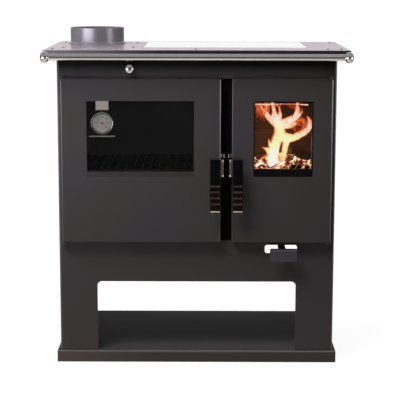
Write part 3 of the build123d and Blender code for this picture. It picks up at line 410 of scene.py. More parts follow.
class Pattern:
    """Nodes of a material or of the world: patterns over the place, and arithmetic on them."""

    def __init__(self, tree, coordinates="Object"):
        self.nodes, self.links = tree.nodes, tree.links
        self.place = self.nodes.new("ShaderNodeTexCoord").outputs[coordinates]

    def feed(self, socket, value):
        """Links an output to a socket, or sets the socket to a number, vector or colour."""
        if isinstance(value, bpy.types.NodeSocket):
            self.links.new(value, socket)
        elif socket.type == "RGBA":
            socket.default_value = (*value, 1.0)
        else:
            socket.default_value = value

    def node(self, kind, options=None, **inputs):
        """New node with its options set and its inputs fed, such as from_min for From Min."""
        node = self.nodes.new("ShaderNode" + kind)
        for name, value in (options or {}).items():
            setattr(node, name, value)
        for name, value in inputs.items():
            self.feed(node.inputs[socket_name(name)], value)
        return node

    def stretched(self, scale):
        """The place scaled by a different amount along each axis, or as it is without a scale."""
        if scale is None:
            return self.place
        return self.node("Mapping", vector=self.place, scale=scale).outputs["Vector"]

    def noise(self, scale, detail=2.0, roughness=0.5, distortion=0.0, stretch=None):
        """Cloudy noise with so many clouds a metre."""
        node = self.node(
            "TexNoise",
            vector=self.stretched(stretch),
            scale=scale,
            detail=detail,
            roughness=roughness,
            distortion=distortion,
        )
        return node.outputs["Fac"]

    def cells(self, scale, feature="F1", stretch=None):
        """Distance pattern of scattered cells."""
        node = self.node(
            "TexVoronoi", {"feature": feature}, vector=self.stretched(stretch), scale=scale
        )
        return node.outputs["Distance"]

    def span(self, value, low, high, to_low=0.0, to_high=1.0, course="LINEAR"):
        """A value's span low to high spread over another span, held at its ends."""
        node = self.node(
            "MapRange",
            {"interpolation_type": course},
            value=value,
            from_min=low,
            from_max=high,
            to_min=to_low,
            to_max=to_high,
        )
        return node.outputs["Result"]

    def spread(self, clouds, to_low, to_high):
        """A noise pattern spread over a span."""
        return self.span(clouds, *CLOUDS, to_low, to_high)

    def math(self, operation, *values):
        """One arithmetic step."""
        node = self.node("Math", {"operation": operation})
        for socket, value in zip(node.inputs, values):
            self.feed(socket, value)
        return node.outputs["Value"]

    def times(self, *values):
        """All the values multiplied."""
        return reduce(partial(self.math, "MULTIPLY"), values)

    def most(self, *values):
        """The largest of the values."""
        return reduce(partial(self.math, "MAXIMUM"), values)

    def apart(self, first, second):
        """How far two values lie apart."""
        return self.math("ABSOLUTE", self.math("SUBTRACT", first, second))

    def axis(self, name):
        """One coordinate of the place on its own."""
        return self.node("SeparateXYZ", vector=self.place).outputs[name]

    def shades(self, value, *stops):
        """Colours laid out along a value, each as (value, colour)."""
        node = self.node("ValToRGB", fac=value)
        elements = node.color_ramp.elements
        elements.remove(elements[1])
        elements[0].position, elements[0].color = stops[0][0], (*stops[0][1], 1.0)
        for position, colour in stops[1:]:
            elements.new(position).color = (*colour, 1.0)
        return node.outputs["Color"]

    def blend(self, share, first, second):
        """The first colour going over to the second by the share."""
        node = self.node("Mix", {"data_type": "RGBA"}, factor=share, a=first, b=second)
        return node.outputs["Result"]


class Finish(Pattern):
    """A material in the making: a Principled shader and the patterns that feed it."""

    def __init__(self, name, **sockets):
        self.material = bpy.data.materials.new(name)
        self.material.use_nodes = True
        super().__init__(self.material.node_tree)
        self.shader = self.nodes["Principled BSDF"]
        self.set(**sockets)

    def set(self, **sockets):
        """Feeds the shader's sockets, such as base_color for Base Color."""
        for name, value in sockets.items():
            self.feed(self.shader.inputs[socket_name(name)], value)

    def tint(self, value, *stops):
        """Base colour laid out along a value."""
        self.set(base_color=self.shades(value, *stops))

    def dull(self, clouds, low, high):
        """Roughness that follows a noise pattern."""
        self.set(roughness=self.spread(clouds, low, high))

    def glow(self, colour, strength):
        """Light that the surface gives off by itself."""
        self.set(emission_color=colour, emission_strength=strength)
        self.material.cycles.emission_sampling = "NONE"

    def relief(self, height, distance, strength=1.0):
        """Bumps as high as the distance, in metres."""
        node = self.node("Bump", height=height, distance=distance, strength=strength)
        self.set(normal=node.outputs["Normal"])

    def orange_peel(self, roughness):
        """Fine grit of sprayed paint."""
        grit = self.noise(900.0, detail=3.0)
        self.dull(grit, roughness - 0.05, roughness + 0.06)
        self.relief(grit, 0.00006)

    def sand_pits(self, depth):
        """Pits of a sand casting; the pattern comes back for the colour."""
        sand = self.noise(420.0, detail=4.0, roughness=0.6)
        self.dull(sand, 0.5, 0.7)
        self.relief(sand, depth)
        return sand

    def rolled(self, low, high, grain=(6.0, 1.0, 1.0)):
        """Streaks of rolled sheet or wire, drawn out along the axes of the least grain."""
        streaks = self.noise(160.0, detail=3.0, stretch=grain)
        self.dull(streaks, low, high)
        self.relief(streaks, 0.00004, strength=0.6)
        return streaks


def shade(colour, *factors):
    """The colour times one factor, or times a factor for each channel."""
    return tuple(np.array(colour[:]) * factors)


# painted shade under the hob's overhang: how far below the hob it begins and how far below it is
# full, and how dark it gets
EAVES_FOOT = 0.062
EAVES_TOP = 0.028
EAVES_SHADE = 0.82


def satin_paint(name, colour, roughness, folds=(), eaves=None):
    """Sprayed stove paint: slow drift between a browner and a cooler shade, fine orange peel.

    Upright folds get a painted highlight: each is its outer X, the width of the highlighted strip,
    inwards with its sign, and the highlight's strength at two heights as (height, strength) pairs.
    Below the height eaves, where one is given, the paint is darkened as painted shade under the
    hob's overhang.
    """
    finish = Finish(name, ior=1.33)
    warm, cool = shade(colour, 1.08, 0.99, 0.90), shade(colour, 0.99, 0.99, 1.06)
    coat = finish.shades(finish.noise(5.0, detail=3.0), (0.35, warm), (0.65, cool))
    shine = 0.5
    # painted highlights: a paler strip along each upright fold, fading from its top to its foot
    highlight_strips = [
        finish.times(
            finish.span(finish.axis("X"), outer + width, outer + width / 2),
            finish.span(finish.axis("Z"), low, high, least, most),
        )
        for outer, width, (low, least), (high, most) in folds
    ]
    if eaves:
        # painted shade: the paint under the hob's overhang goes dark towards the top
        shaded = finish.span(
            finish.axis("Z"), eaves - EAVES_FOOT, eaves - EAVES_TOP, 0.0, EAVES_SHADE
        )
        coat = finish.blend(shaded, coat, BLACK)
    if highlight_strips:
        fold_highlight = finish.most(*highlight_strips)
        # painted highlight: the folds go over to a pale colour
        coat = finish.blend(fold_highlight, coat, (1.0, 0.97, 1.03))
        shine = finish.span(fold_highlight, 0.0, 0.08, shine, 0.15)
    if eaves:
        shine = finish.times(shine, finish.span(shaded, 0.0, EAVES_SHADE, 1.0, 0.25))
    finish.set(base_color=coat, specular_ior_level=shine)
    finish.orange_peel(roughness)
    return finish.material


def tray_paint(colour, roughness):
    """Dull paint of the plinth tray: a redder face with painted light, lightest at the left, and a
    painted highlight along its top front fold.
    """
    finish = Finish("plinth_paint", ior=1.07)
    low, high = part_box("plinth")
    depth = finish.axis("Y")
    # painted highlight along the top front fold
    edge_highlight = finish.times(
        finish.span(depth, low.y + 0.0015, low.y + 0.0035, 1.0, 0.0),
        finish.span(finish.axis("Z"), high.z - 0.0055, high.z - 0.0035),
    )
    drift = finish.noise(6.0, detail=3.0)
    above = finish.shades(drift, (0.3, shade(colour, 0.9)), (0.7, shade(colour, 1.15)))
    red = shade(colour, 1.12, 0.92, 0.86)
    # painted light: the face is several times lighter than the top, and lightest at its left end
    across = finish.span(finish.axis("X"), low.x, high.x)
    lit_face = finish.shades(across, (0.0, shade(red, 3.4)), (0.35, shade(red, 2.2)))
    face = finish.span(depth, low.y + 0.0006, low.y + 0.0014, 1.0, 0.0)
    coat = finish.blend(face, above, lit_face)
    finish.set(base_color=finish.blend(edge_highlight, coat, shade(colour, 4.0)))
    finish.orange_peel(roughness)
    return finish.material


def collar_paint(colour):
    """Graphite paint with metal flakes, brushed faintly round the collar."""
    finish = Finish("collar_paint", metallic=0.75)
    finish.tint(finish.noise(8.0, detail=4.0), (0.3, shade(colour, 0.9)), (0.7, colour))
    grit = finish.noise(500.0, detail=3.0, stretch=(1.0, 1.0, 4.0))
    finish.dull(grit, 0.27, 0.36)
    finish.relief(grit, 0.00005)
    return finish.material


def matt_black(colour):
    """Heat-proof black, a little greyer where it is dusty."""
    finish = Finish("matt_black", ior=1.15)
    dust = finish.noise(24.0, detail=5.0, roughness=0.65)
    finish.tint(dust, (0.3, colour), (0.8, shade(colour, 1.9)))
    finish.dull(dust, 0.54, 0.70)
    finish.relief(finish.noise(1200.0), 0.00005)
    return finish.material


def hob_enamel(colour):
    """Metallic graphite enamel, faintly wavy and specked, with painted shade along most of the
    front lip.
    """
    finish = Finish("hob_enamel", metallic=0.5, ior=1.5, specular_tint=(0.80, 0.62, 0.72))
    low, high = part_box("hob_frame")
    specks = finish.span(finish.cells(700.0), 0.05, 0.3, 0.2, 0.0)
    top = finish.shades(specks, (0.0, colour), (1.0, shade(colour, 1.5)))
    # painted shade: the front lip goes towards black, from nothing at its left end to full at x =
    # low.x / 4 and on to the right
    painted_lip = finish.span(finish.axis("Y"), low.y + 0.0006, low.y + 0.0020, 1.0, 0.0)
    across = finish.span(finish.axis("X"), low.x, low.x / 4, 0.0, 0.85)
    finish.set(base_color=finish.blend(finish.times(painted_lip, across), top, BLACK))
    wave = finish.noise(40.0)
    finish.dull(wave, 0.22, 0.28)
    finish.relief(wave, 0.00006, strength=0.5)
    return finish.material


def hob_glass():
    """Black glass-ceramic: almost a mirror at a low angle, with a dimpled underside."""
    finish = Finish("hob_glass_ceramic", ior=1.9, coat_weight=1.0, coat_roughness=0.02)
    finish.tint(finish.cells(320.0), (0.1, (0.030, 0.028, 0.031)), (0.4, shade(WHITE, 0.012)))
    finish.dull(finish.noise(18.0), 0.02, 0.05)
    return finish.material


def chrome(name, colour, roughness=0.07):
    """Polished chrome with fine hairline scratches and a breath of haze."""
    finish = Finish(name, metallic=1.0)
    haze = finish.noise(60.0, detail=4.0)
    finish.tint(haze, (0.3, shade(colour, 0.93)), (0.7, colour))
    finish.dull(haze, roughness - 0.03, roughness + 0.05)
    finish.relief(finish.noise(90.0, stretch=(1.0, 30.0, 30.0)), 0.00001, strength=0.4)
    return finish.material


def plain_steel(name, colour, roughness, grain=(6.0, 1.0, 1.0)):
    """Bare or zinc-plated steel: rolled streaks along one axis and soft stains."""
    finish = Finish(name, metallic=1.0)
    finish.rolled(roughness - 0.08, roughness + 0.1, grain)
    finish.tint(finish.noise(22.0, detail=5.0), (0.3, shade(colour, 0.7)), (0.7, colour))
    return finish.material


def latch_steel(colour):
    """Latch lever: dark pivoting plate with painted highlights at its top and lower end, black bar,
    foot with a painted highlight.

    The plates stand within 11.5 mm of the middle of the gap between the doors, and the foot is
    the lowest 2 mm. Up to the top of the grip's slots the bar is partly grey steel, as a painted
    highlight that shows through the slots. All are steep steps of the place.
    """
    finish = Finish("latch_steel")
    low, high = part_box("latch_keeper")
    height = finish.axis("Z")
    offset = finish.apart(finish.axis("X"), (low.x + high.x) / 2)
    # painted highlights: the plates lighter at their top and lower end, and the foot's lowest 2 mm
    plate = finish.span(offset, 0.0114, 0.0117, 1.0, 0.0)
    plate_end = low.z - 0.0205
    end_highlight = finish.span(height, plate_end + 0.003, plate_end + 0.005, 1.0, 0.12)
    top_highlight = finish.span(height, low.z + 0.014, high.z - 0.006, 0.0, 0.8)
    bright = finish.times(plate, finish.most(end_highlight, top_highlight))
    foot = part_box("oven_latch_lever")[0].z
    painted_lip = finish.span(height, foot + 0.0018, foot + 0.0022, 1.0, 0.0)
    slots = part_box("oven_latch_grip")[0].z + 0.073
    # painted highlight: the bar partly grey steel up to the top of the slots, seen through them
    bar_highlight = finish.span(height, slots, slots + 0.006, 0.26, 0.0)
    haze = finish.noise(90.0, detail=4.0)
    lacquer = finish.shades(haze, (0.3, (0.0010, 0.0010, 0.0011)), (0.7, (0.004, 0.003, 0.003)))
    steel = finish.shades(haze, (0.3, shade(colour, 0.85)), (0.7, colour))
    finish.set(base_color=finish.blend(finish.most(bright, painted_lip, bar_highlight), lacquer, steel))
    finish.set(metallic=finish.span(bright, 0.05, 0.12))
    finish.dull(haze, 0.16, 0.28)
    finish.relief(haze, 0.00003)
    return finish.material


def bracket_tin(colour):
    """Bracket of the thermometer: dull bright tin, with painted shade in its necks beside the dial.
    """
    finish = Finish("bracket_tin", metallic=0.9)
    low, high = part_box("thermometer_case")
    middle, radius = (low.z + high.z) / 2, (high.z - low.z) / 2
    away = finish.apart(finish.axis("Z"), middle)
    # painted shade: the necks next to the case go dark
    neck = finish.span(away, radius + 0.0035, radius + 0.0052)
    streaks = finish.rolled(0.38, 0.55)
    tone = finish.times(neck, finish.spread(streaks, 0.8, 1.0))
    finish.tint(tone, (0.0, (0.01, 0.009, 0.009)), (1.0, colour))
    return finish.material


def lever_casting():
    """Cast air lever: its tab has a painted shadow along its top edge and a painted highlight line
    below that.
    """
    finish = Finish("lever_casting", metallic=0.2)
    tab_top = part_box("air_lever")[0].z + 0.036
    # painted shadow at the tab's top edge, and a painted highlight line under it
    tone = finish.span(finish.axis("Z"), tab_top - 0.010, tab_top)
    tab, highlight_line, edge = (0.040, 0.031, 0.040), (0.100, 0.086, 0.100), (0.003, 0.003, 0.003)
    finish.tint(tone, (0.38, tab), (0.48, highlight_line), (0.62, highlight_line), (0.70, edge))
    finish.sand_pits(0.0002)
    return finish.material


def rough_casting(name, colour):
    """Cast iron: sand-cast pits, dull, with darker hollows."""
    finish = Finish(name, metallic=0.35)
    sand = finish.sand_pits(0.0003)
    finish.tint(sand, (0.3, shade(colour, 0.6)), (0.7, colour))
    return finish.material


def speckled_enamel(colour):
    """Oven enamel: dark ground with small pale specks."""
    finish = Finish("oven_enamel", ior=1.25)
    finish.tint(finish.cells(260.0), (0.10, shade(colour, 4.0)), (0.22, colour))
    finish.dull(finish.noise(60.0), 0.35, 0.5)
    finish.relief(finish.noise(220.0), 0.00008)
    return finish.material


def fire_brick(colour):
    """Pressed brick: fine ribs lying level, grain, and soot that thickens upwards."""
    finish = Finish("fire_brick", roughness=0.95)
    low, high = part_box("fire_bricks")
    grain = finish.noise(260.0, detail=5.0, roughness=0.7)
    ribs = finish.node(
        "TexWave",
        {"bands_direction": "Z"},
        vector=finish.place,
        scale=26.0,
        distortion=1.2,
        detail=2.0,
    ).outputs["Fac"]
    soot = finish.span(finish.axis("Z"), low.z + 0.037, high.z - 0.019, 1.0, 0.35)
    hollows = finish.span(ribs, 0.0, 0.35, 0.80, 1.0)
    tone = finish.times(finish.noise(30.0, detail=4.0), soot, hollows)
    finish.tint(tone, (0.05, shade(colour, 0.12)), (0.30, shade(colour, 0.55)), (0.6, colour))
    finish.relief(finish.math("ADD", ribs, finish.times(grain, 0.8)), 0.0008)
    return finish.material


def clear_pane(name, colour, alpha, film_from=None):
    """Heat-proof glass, seen through, with its own faint tint and a wiped haze.

    Above the height film_from, where one is given, the haze is a paler film.
    """
    finish = Finish(name, ior=1.18)
    haze = finish.noise(14.0, detail=3.0)
    film = haze
    if film_from:
        film = finish.span(finish.axis("Z"), film_from, film_from + 0.004)
        film = finish.math("ADD", finish.times(film, 0.6), finish.times(haze, 0.4))
    finish.tint(film, (0.2, shade(colour, 0.3)), (0.8, colour))
    finish.dull(haze, 0.02, 0.06)
    finish.set(alpha=finish.span(haze, 0.2, 0.8, alpha * 0.85, alpha * 1.15))
    return finish.material


# painted highlights in the slots of a latch grip: the lowest one's middle above the grip's foot,
# their pitch, height and width, and how many there are above the lowest
SLOT_FIRST = 0.0189
SLOT_PITCH = 0.0161
SLOT_HEIGHT = 0.0046
SLOT_WIDTH = 0.0222
SLOTS_ABOVE = 3.0


def grip_resin():
    """Moulded grip: near black, glossy, with a brown cast low down and painted highlights in its
    slots.

    The painted highlight is where the place is within half the slot's height of a slot's middle,
    and within half its width of the grip's.
    """
    finish = Finish("grip_resin", ior=1.12)
    low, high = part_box("latch_keeper")
    near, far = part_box("oven_latch_grip")
    swirl = finish.noise(70.0, detail=3.0, distortion=0.6)
    height = finish.axis("Z")
    warm = finish.span(height, near.z + 0.0664, near.z + 0.0064, 0.0, 0.5)
    tone = finish.math("ADD", warm, finish.times(swirl, 0.25))
    dark = finish.shades(tone, (0.1, (0.0006, 0.0006, 0.0007)), (0.8, (0.013, 0.0045, 0.0025)))
    gap = (low.x + high.x) / 2
    aside = finish.apart(finish.apart(finish.axis("X"), gap), gap - (near.x + far.x) / 2)
    inside = finish.span(aside, SLOT_WIDTH / 2, SLOT_WIDTH / 2 - 0.0008)
    above = finish.math("SUBTRACT", height, near.z + SLOT_FIRST)
    step = finish.math("DIVIDE", above, SLOT_PITCH)
    number = finish.math("MINIMUM", finish.most(finish.math("ROUND", step), 0.0), SLOTS_ABOVE)
    edge = SLOT_HEIGHT / 2 / SLOT_PITCH
    level = finish.span(finish.apart(step, number), edge, edge - 0.0004 / SLOT_PITCH)
    # painted highlight: the slots' rims and ledges go over to a pale colour
    slot_highlight = finish.times(inside, level)
    finish.set(base_color=finish.blend(slot_highlight, dark, (0.26, 0.225, 0.205)))
    finish.dull(swirl, 0.2, 0.32)
    finish.relief(finish.noise(800.0), 0.00004)
    return finish.material


def rope_fibre():
    """Glass-fibre rope: charcoal yarn, darker in the hollows between its strands."""
    finish = Finish("rope_fibre", sheen_weight=0.3, sheen_roughness=0.6)
    yarn = finish.noise(900.0, detail=3.0)
    finish.tint(yarn, (0.3, (0.03, 0.03, 0.03)), (0.7, (0.13, 0.125, 0.12)))
    finish.dull(yarn, 0.8, 0.95)
    finish.relief(yarn, 0.0004)
    return finish.material


def printed(name, colour):
    """Printed or lacquered flat colour with a paper-fine grain, also used for the dial's painted
    shadow ring.
    """
    finish = Finish(name)
    speck = finish.noise(1500.0)
    finish.tint(speck, (0.3, shade(colour, 0.85)), (0.7, colour))
    finish.dull(speck, 0.4, 0.55)
    finish.relief(speck, 0.00002)
    return finish.material


# ---------------------------------------------------------------- operators


def finish_nodes(finish, *names):
    """Gives CAD nodes a finish."""
    for name in names:
        for material_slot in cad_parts[name].material_slots:
            material_slot.material = finish


# painted highlights on the upright folds of a sheet: the side, the width of the strip, and the
# least and the most highlight, at its foot and at its top; nothing is counted as a sheet's foot
# below the height set next
HIGHLIGHTED_FOLDS = {
    "front_panel": ((-1, 0.006, 0.05, 0.10), (1, 0.005, 0.10, 0.30)),
    "oven_door_shell": ((-1, 0.0032, 0.03, 0.16), (1, 0.0036, 0.12, 0.42)),
    "firebox_door_shell": ((-1, 0.0032, 0.01, 0.07), (1, 0.0036, 0.08, 0.36)),
}
# the painted fold highlights begin no lower than this height
HIGHLIGHT_FROM = 0.4


class COOKSTOVE_OT_carcass(bpy.types.Operator):
    """Paint of the body, the doors, the plinth and the inner plates"""

    bl_idname = "cookstove.carcass"
    bl_label = "Carcass finishes"

    def execute(self, context):
        colours = settings("finishes")
        for name, sides in HIGHLIGHTED_FOLDS.items():
            low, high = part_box(name)
            foot = max(low.z, HIGHLIGHT_FROM)
            folds = [
                (high.x if side > 0 else low.x, -side * width, (foot, least), (high.z, most))
                for side, width, least, most in sides
            ]
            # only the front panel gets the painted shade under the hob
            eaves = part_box("hob_frame")[0].z if name == "front_panel" else None
            paint = satin_paint(
                name + "_paint", colours.paint, colours.paint_roughness, folds, eaves
            )
            finish_nodes(paint, name)
        finish_nodes(
            satin_paint("anthracite_paint", colours.paint, colours.paint_roughness),
            "left_side_panel",
            "right_side_panel",
            "oven_glass_frame",
            "hinge_brackets",
            "fascia_rivets",
        )
        finish_nodes(tray_paint(colours.plinth, colours.paint_roughness + 0.16), "plinth")
        finish_nodes(collar_paint(colours.collar), "flue_collar")
        finish_nodes(
            matt_black(colours.matt_black),
            "door_frame",
            "latch_keeper",
            "firebox_glass_frame",
            "flue_box",
            "firebox_casing",
        )
        rear = satin_paint("rear_paint", shade(colours.paint, 0.8), 0.55)
        finish_nodes(rear, "back_panel", "floor_plate")
        finish_nodes(lever_casting(), "air_lever")
        return {"FINISHED"}


class COOKSTOVE_OT_hob(bpy.types.Operator):
    """Enamel top frame, glass-ceramic plate and its gasket"""

    bl_idname = "cookstove.hob"
    bl_label = "Hob finishes"

    def execute(self, context):
        finish_nodes(hob_enamel(settings("finishes").hob), "hob_frame")
        finish_nodes(hob_glass(), "hob_glass")
        finish_nodes(rope_fibre(), "hob_seal")
        return {"FINISHED"}


class COOKSTOVE_OT_metalwork(bpy.types.Operator):
    """Chrome rail, steel latches, pins, bushes and slides"""

    bl_idname = "cookstove.metalwork"
    bl_label = "Metal finishes"

    def execute(self, context):
        colour = settings("finishes").chrome
        finish_nodes(chrome("rail_chrome", colour), "towel_rail")
        finish_nodes(chrome("bracket_chrome", shade(colour, 0.9), 0.12), "rail_brackets")
        finish_nodes(plain_steel("rack_steel", (0.035, 0.035, 0.034), 0.45), "oven_rack")
        finish_nodes(
            plain_steel("zinc_steel", (0.50, 0.50, 0.52), 0.32), "damper_bush", "damper_rod"
        )
        finish_nodes(
            plain_steel("pin_steel", (0.10, 0.10, 0.11), 0.40),
            "hinge_pins",
            "oven_hinge_bushes",
            "firebox_hinge_bushes",
        )
        finish_nodes(
            plain_steel("pivot_steel", (0.72, 0.62, 0.58), 0.30),
            "oven_latch_pivot",
            "firebox_latch_pivot",
        )
        finish_nodes(latch_steel((0.82, 0.66, 0.61)), "oven_latch_lever", "firebox_latch_lever")
        finish_nodes(grip_resin(), "oven_latch_grip", "firebox_latch_grip")
        finish_nodes(
            plain_steel("sheet_steel", (0.36, 0.36, 0.37), 0.42, grain=(1.0, 8.0, 1.0)),
            "ash_pan",
            "air_slide",
            "air_slide_guides",
        )
        return {"FINISHED"}


class COOKSTOVE_OT_inside(bpy.types.Operator):
    """Oven enamel, panes, bricks and castings"""

    bl_idname = "cookstove.inside"
    bl_label = "Oven and firebox finishes"

    def execute(self, context):
        finish_nodes(
            speckled_enamel((0.004, 0.004, 0.0042)),
            "oven_box",
            "oven_runners",
            "oven_door_liner",
            "firebox_door_liner",
        )
        finish_nodes(fire_brick(settings("finishes").brick), "fire_bricks")
        finish_nodes(
            rough_casting("cast_iron", (0.050, 0.044, 0.040)),
            "grate",
            "hearth_plate",
            "log_guard",
            "damper_disc",
        )
        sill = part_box("oven_door_glass")[0].z + 0.0545
        oven_pane = clear_pane("oven_pane", (0.013, 0.013, 0.0125), 0.21, film_from=sill)
        finish_nodes(oven_pane, "oven_door_glass")
        finish_nodes(clear_pane("fire_pane", (0.010, 0.007, 0.005), 0.08), "firebox_door_glass")
        finish_nodes(clear_pane("dial_lens", shade(WHITE, 0.02), 0.10), "thermometer_lens")
        return {"FINISHED"}


# profile of a rail end: (distance from the rail's end, radius), a shoulder and a cut ball
RAIL_END = (
    (-0.0005, 0.0),
    (-0.0005, 0.0088),
    (0.0000, 0.0094),
    (0.0012, 0.0100),
    (0.0030, 0.0119),
    (0.0065, 0.0138),
    (0.0108, 0.0145),
    (0.0150, 0.0138),
    (0.0185, 0.0119),
    (0.0205, 0.0098),
    (0.0213, 0.0070),
    (0.0215, 0.0035),
    (0.0215, 0.0),
)

# profile of the damper knob: (distance in front of its foot, radius), a neck and a ball
DAMPER_KNOB = (
    (0.0000, 0.0),
    (0.0000, 0.0058),
    (0.0006, 0.0064),
    (0.0035, 0.0060),
    (0.0055, 0.0066),
    (0.0070, 0.0094),
    (0.0105, 0.0122),
    (0.0155, 0.0132),
    (0.0205, 0.0121),
    (0.0240, 0.0092),
    (0.0262, 0.0050),
    (0.0269, 0.0),
)

# rows along a turned fitting and points round it
FITTING_ROWS = 72
FITTING_ROUNDS = 40


class COOKSTOVE_OT_turned_fittings(bpy.types.Operator):
    """Turned rail ends and damper knob"""

    bl_idname = "cookstove.turned_fittings"
    bl_label = "Rail ends and knob"

    def execute(self, context):
        bright = chrome("ball_chrome", settings("finishes").chrome, 0.05)
        rail_low, rail_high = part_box("towel_rail")
        middle = (rail_low + rail_high) / 2
        profile = smooth_track(RAIL_END, FITTING_ROWS)
        ends = [
            swept_round(profile, (end, middle.y, middle.z), (side, 0, 0), FITTING_ROUNDS)
            for end, side in ((rail_low.x, -1), (rail_high.x, 1))
        ]
        round_piece("rail_ends", ends, bright, "root", ["rail_finials"])
        low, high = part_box("damper_knob")
        foot = ((low.x + high.x) / 2, high.y, (low.z + high.z) / 2)
        profile = smooth_track(DAMPER_KNOB, FITTING_ROWS)
        knob = swept_round(profile, foot, (0, -1, 0), FITTING_ROUNDS)
        round_piece("pull_knob", [knob], bright, "damper", ["damper_knob"])
        return {"FINISHED"}


SCREW_RADIUS = 0.004
SCREW_HEIGHT = 0.0018

# radii from the rim to the recess, as shares of the head's, and then of the hexagon's
HEAD_RINGS = (1.0, 1.0, 0.97, 0.88, 0.72, 0.55)
RECESS_RINGS = (1.06, 1.0, 0.98, 0.5, 0.0)


def screw_head(place, out, across):
    """Grid of a button head with a hexagon recess, rings from the rim to the recess's floor.

    A ring's radius runs from the rim to the middle; the height is that of a flattened dome,
    and inside the hexagon, whose edge lies at half its width over the cosine of the angle to
    the nearest flat's middle, it drops to the floor of the recess.
    """
    rounds = 48
    angle = np.linspace(0, TURN, rounds, endpoint=False)
    flat = (angle + math.pi / 6) % (math.pi / 3) - math.pi / 6
    hexagon = across / 2 / np.cos(flat)
    reach = np.vstack(
        [
            SCREW_RADIUS * np.outer(HEAD_RINGS, np.ones(rounds)),
            np.outer(RECESS_RINGS, hexagon),
        ]
    )
    dome = SCREW_HEIGHT * (1 - 0.75 * (reach / SCREW_RADIUS) ** 2)
    dome[0] = 0.0
    dome[-3:] = SCREW_HEIGHT / 4
    out = np.asarray(out, float)
    side = np.array([1.0, 0.0, 0.0])
    spoke = spokes(side, np.cross(out, side), rounds)
    return np.asarray(place) + dome[..., None] * out + reach[..., None] * spoke


class COOKSTOVE_OT_screw_heads(bpy.types.Operator):
    """Button heads with a hexagon recess for the hob and the back panel"""

    bl_idname = "cookstove.screw_heads"
    bl_label = "Screw heads"

    def execute(self, context):
        across = settings("fittings").screw_recess
        steel = plain_steel("screw_steel", (0.22, 0.21, 0.22), 0.3, grain=(1.0, 1.0, 1.0))
        hob_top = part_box("hob_frame")[1].z
        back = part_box("back_panel")[1].y
        upwards = [
            screw_head((x, y, hob_top), (0, 0, 1), across) for x, y, _ in loose_places("hob_screws")
        ]
        backwards = [
            screw_head((x, back, z), (0, 1, 0), across) for x, _, z in loose_places("back_screws")
        ]
        round_piece("hob_screw_heads", upwards, steel, "root", ["hob_screws"])
        round_piece("back_screw_heads", backwards, steel, "root", ["back_screws"])
        return {"FINISHED"}


# half the width of the rope, the radius of the corners that it turns, and the length of a row
ROPE_HALF_WIDTH = 0.005
ROPE_CORNER = 0.012
ROPE_ROW = 0.0022


def rope_ring(low, high, strands, lay):
    """Grid of a rope laid round a rounded rectangle.

    The centre line is a rectangle whose corners are quarter circles. Round it, the rope's
    section is an ellipse; its radius swells by the absolute sine of half the strand count
    times the turn, plus the distance along over the lay, so that the strands wind.
    """
    thick = (high.y - low.y) / 2
    inset = ROPE_HALF_WIDTH + ROPE_CORNER
    left, right = low.x + inset, high.x - inset
    bottom, top = low.z + inset, high.z - inset
    quarter = np.linspace(0, math.pi / 2, 9)
    centres = ((right, top), (left, top), (left, bottom), (right, bottom))
    knots = np.vstack(
        [
            np.array(centre)
            + ROPE_CORNER
            * np.stack([np.cos(quarter + start), np.sin(quarter + start)], -1)
            for centre, start in zip(centres, np.arange(4) * math.pi / 2)
        ]
    )
    knots = np.vstack([knots, knots[:1]])
    distance = np.concatenate([[0], np.cumsum(np.linalg.norm(np.diff(knots, axis=0), axis=1))])
    length = distance[-1]
    along = np.linspace(0, length, int(length / ROPE_ROW), endpoint=False)
    centre = np.stack([np.interp(along, distance, knots[:, axis]) for axis in (0, 1)], -1)
    ahead = np.roll(centre, -1, axis=0) - np.roll(centre, 1, axis=0)
    ahead /= np.linalg.norm(ahead, axis=1)[:, None]
    angle = np.linspace(0, TURN, 20, endpoint=False)
    phase = angle + TURN * round(length / lay) * (along / length)[:, None]
    swell = 0.90 + 0.10 * np.abs(np.sin(strands / 2 * phase))
    outwards = ROPE_HALF_WIDTH * swell * np.cos(angle)
    return np.stack(
        [
            centre[:, :1] + ahead[:, 1:] * outwards,
            (low.y + high.y) / 2 + thick * swell * np.sin(angle),
            centre[:, 1:] - ahead[:, :1] * outwards,
        ],
        -1,
    )


class COOKSTOVE_OT_rope_seals(bpy.types.Operator):
    """Wound rope seals of both doors"""

    bl_idname = "cookstove.rope_seals"
    bl_label = "Rope seals"

    def execute(self, context):
        sizes = settings("fittings")
        fibre = rope_fibre()
        for door in ("oven_door", "firebox_door"):
            low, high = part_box(f"{door}_seal")
            ring = [rope_ring(low, high, sizes.rope_strands, sizes.rope_lay)]
            stands_for = [f"{door}_seal"]
            round_piece(f"{door}_rope", ring, fibre, door, stands_for, ring_rows=True)
        return {"FINISHED"}


DIAL_START = math.radians(225)
DIAL_SWEEP = math.radians(270)
DIAL_NUMBERS = 7
TICKS_A_NUMBER = 5

# the scale's reach and the inner and outer radii of the painted shadow ring under the bezel, as
# shares of the dial's radius
SCALE_REACH = 0.92
SHADOW_INSIDE = 0.88
SHADOW_OUTSIDE = 0.99

# size of the numbers, and radii of their middles and of the ticks' ends, as shares of the scale's
NUMBER_SIZE = 0.24
NUMBER_REACH = 0.60
LONG_TICK = 0.78
SHORT_TICK = 0.87
TICK_END = 0.95


def dial_angle(share):
    """Angle on the dial at a share of its sweep, which runs clockwise."""
    return DIAL_START - DIAL_SWEEP * share


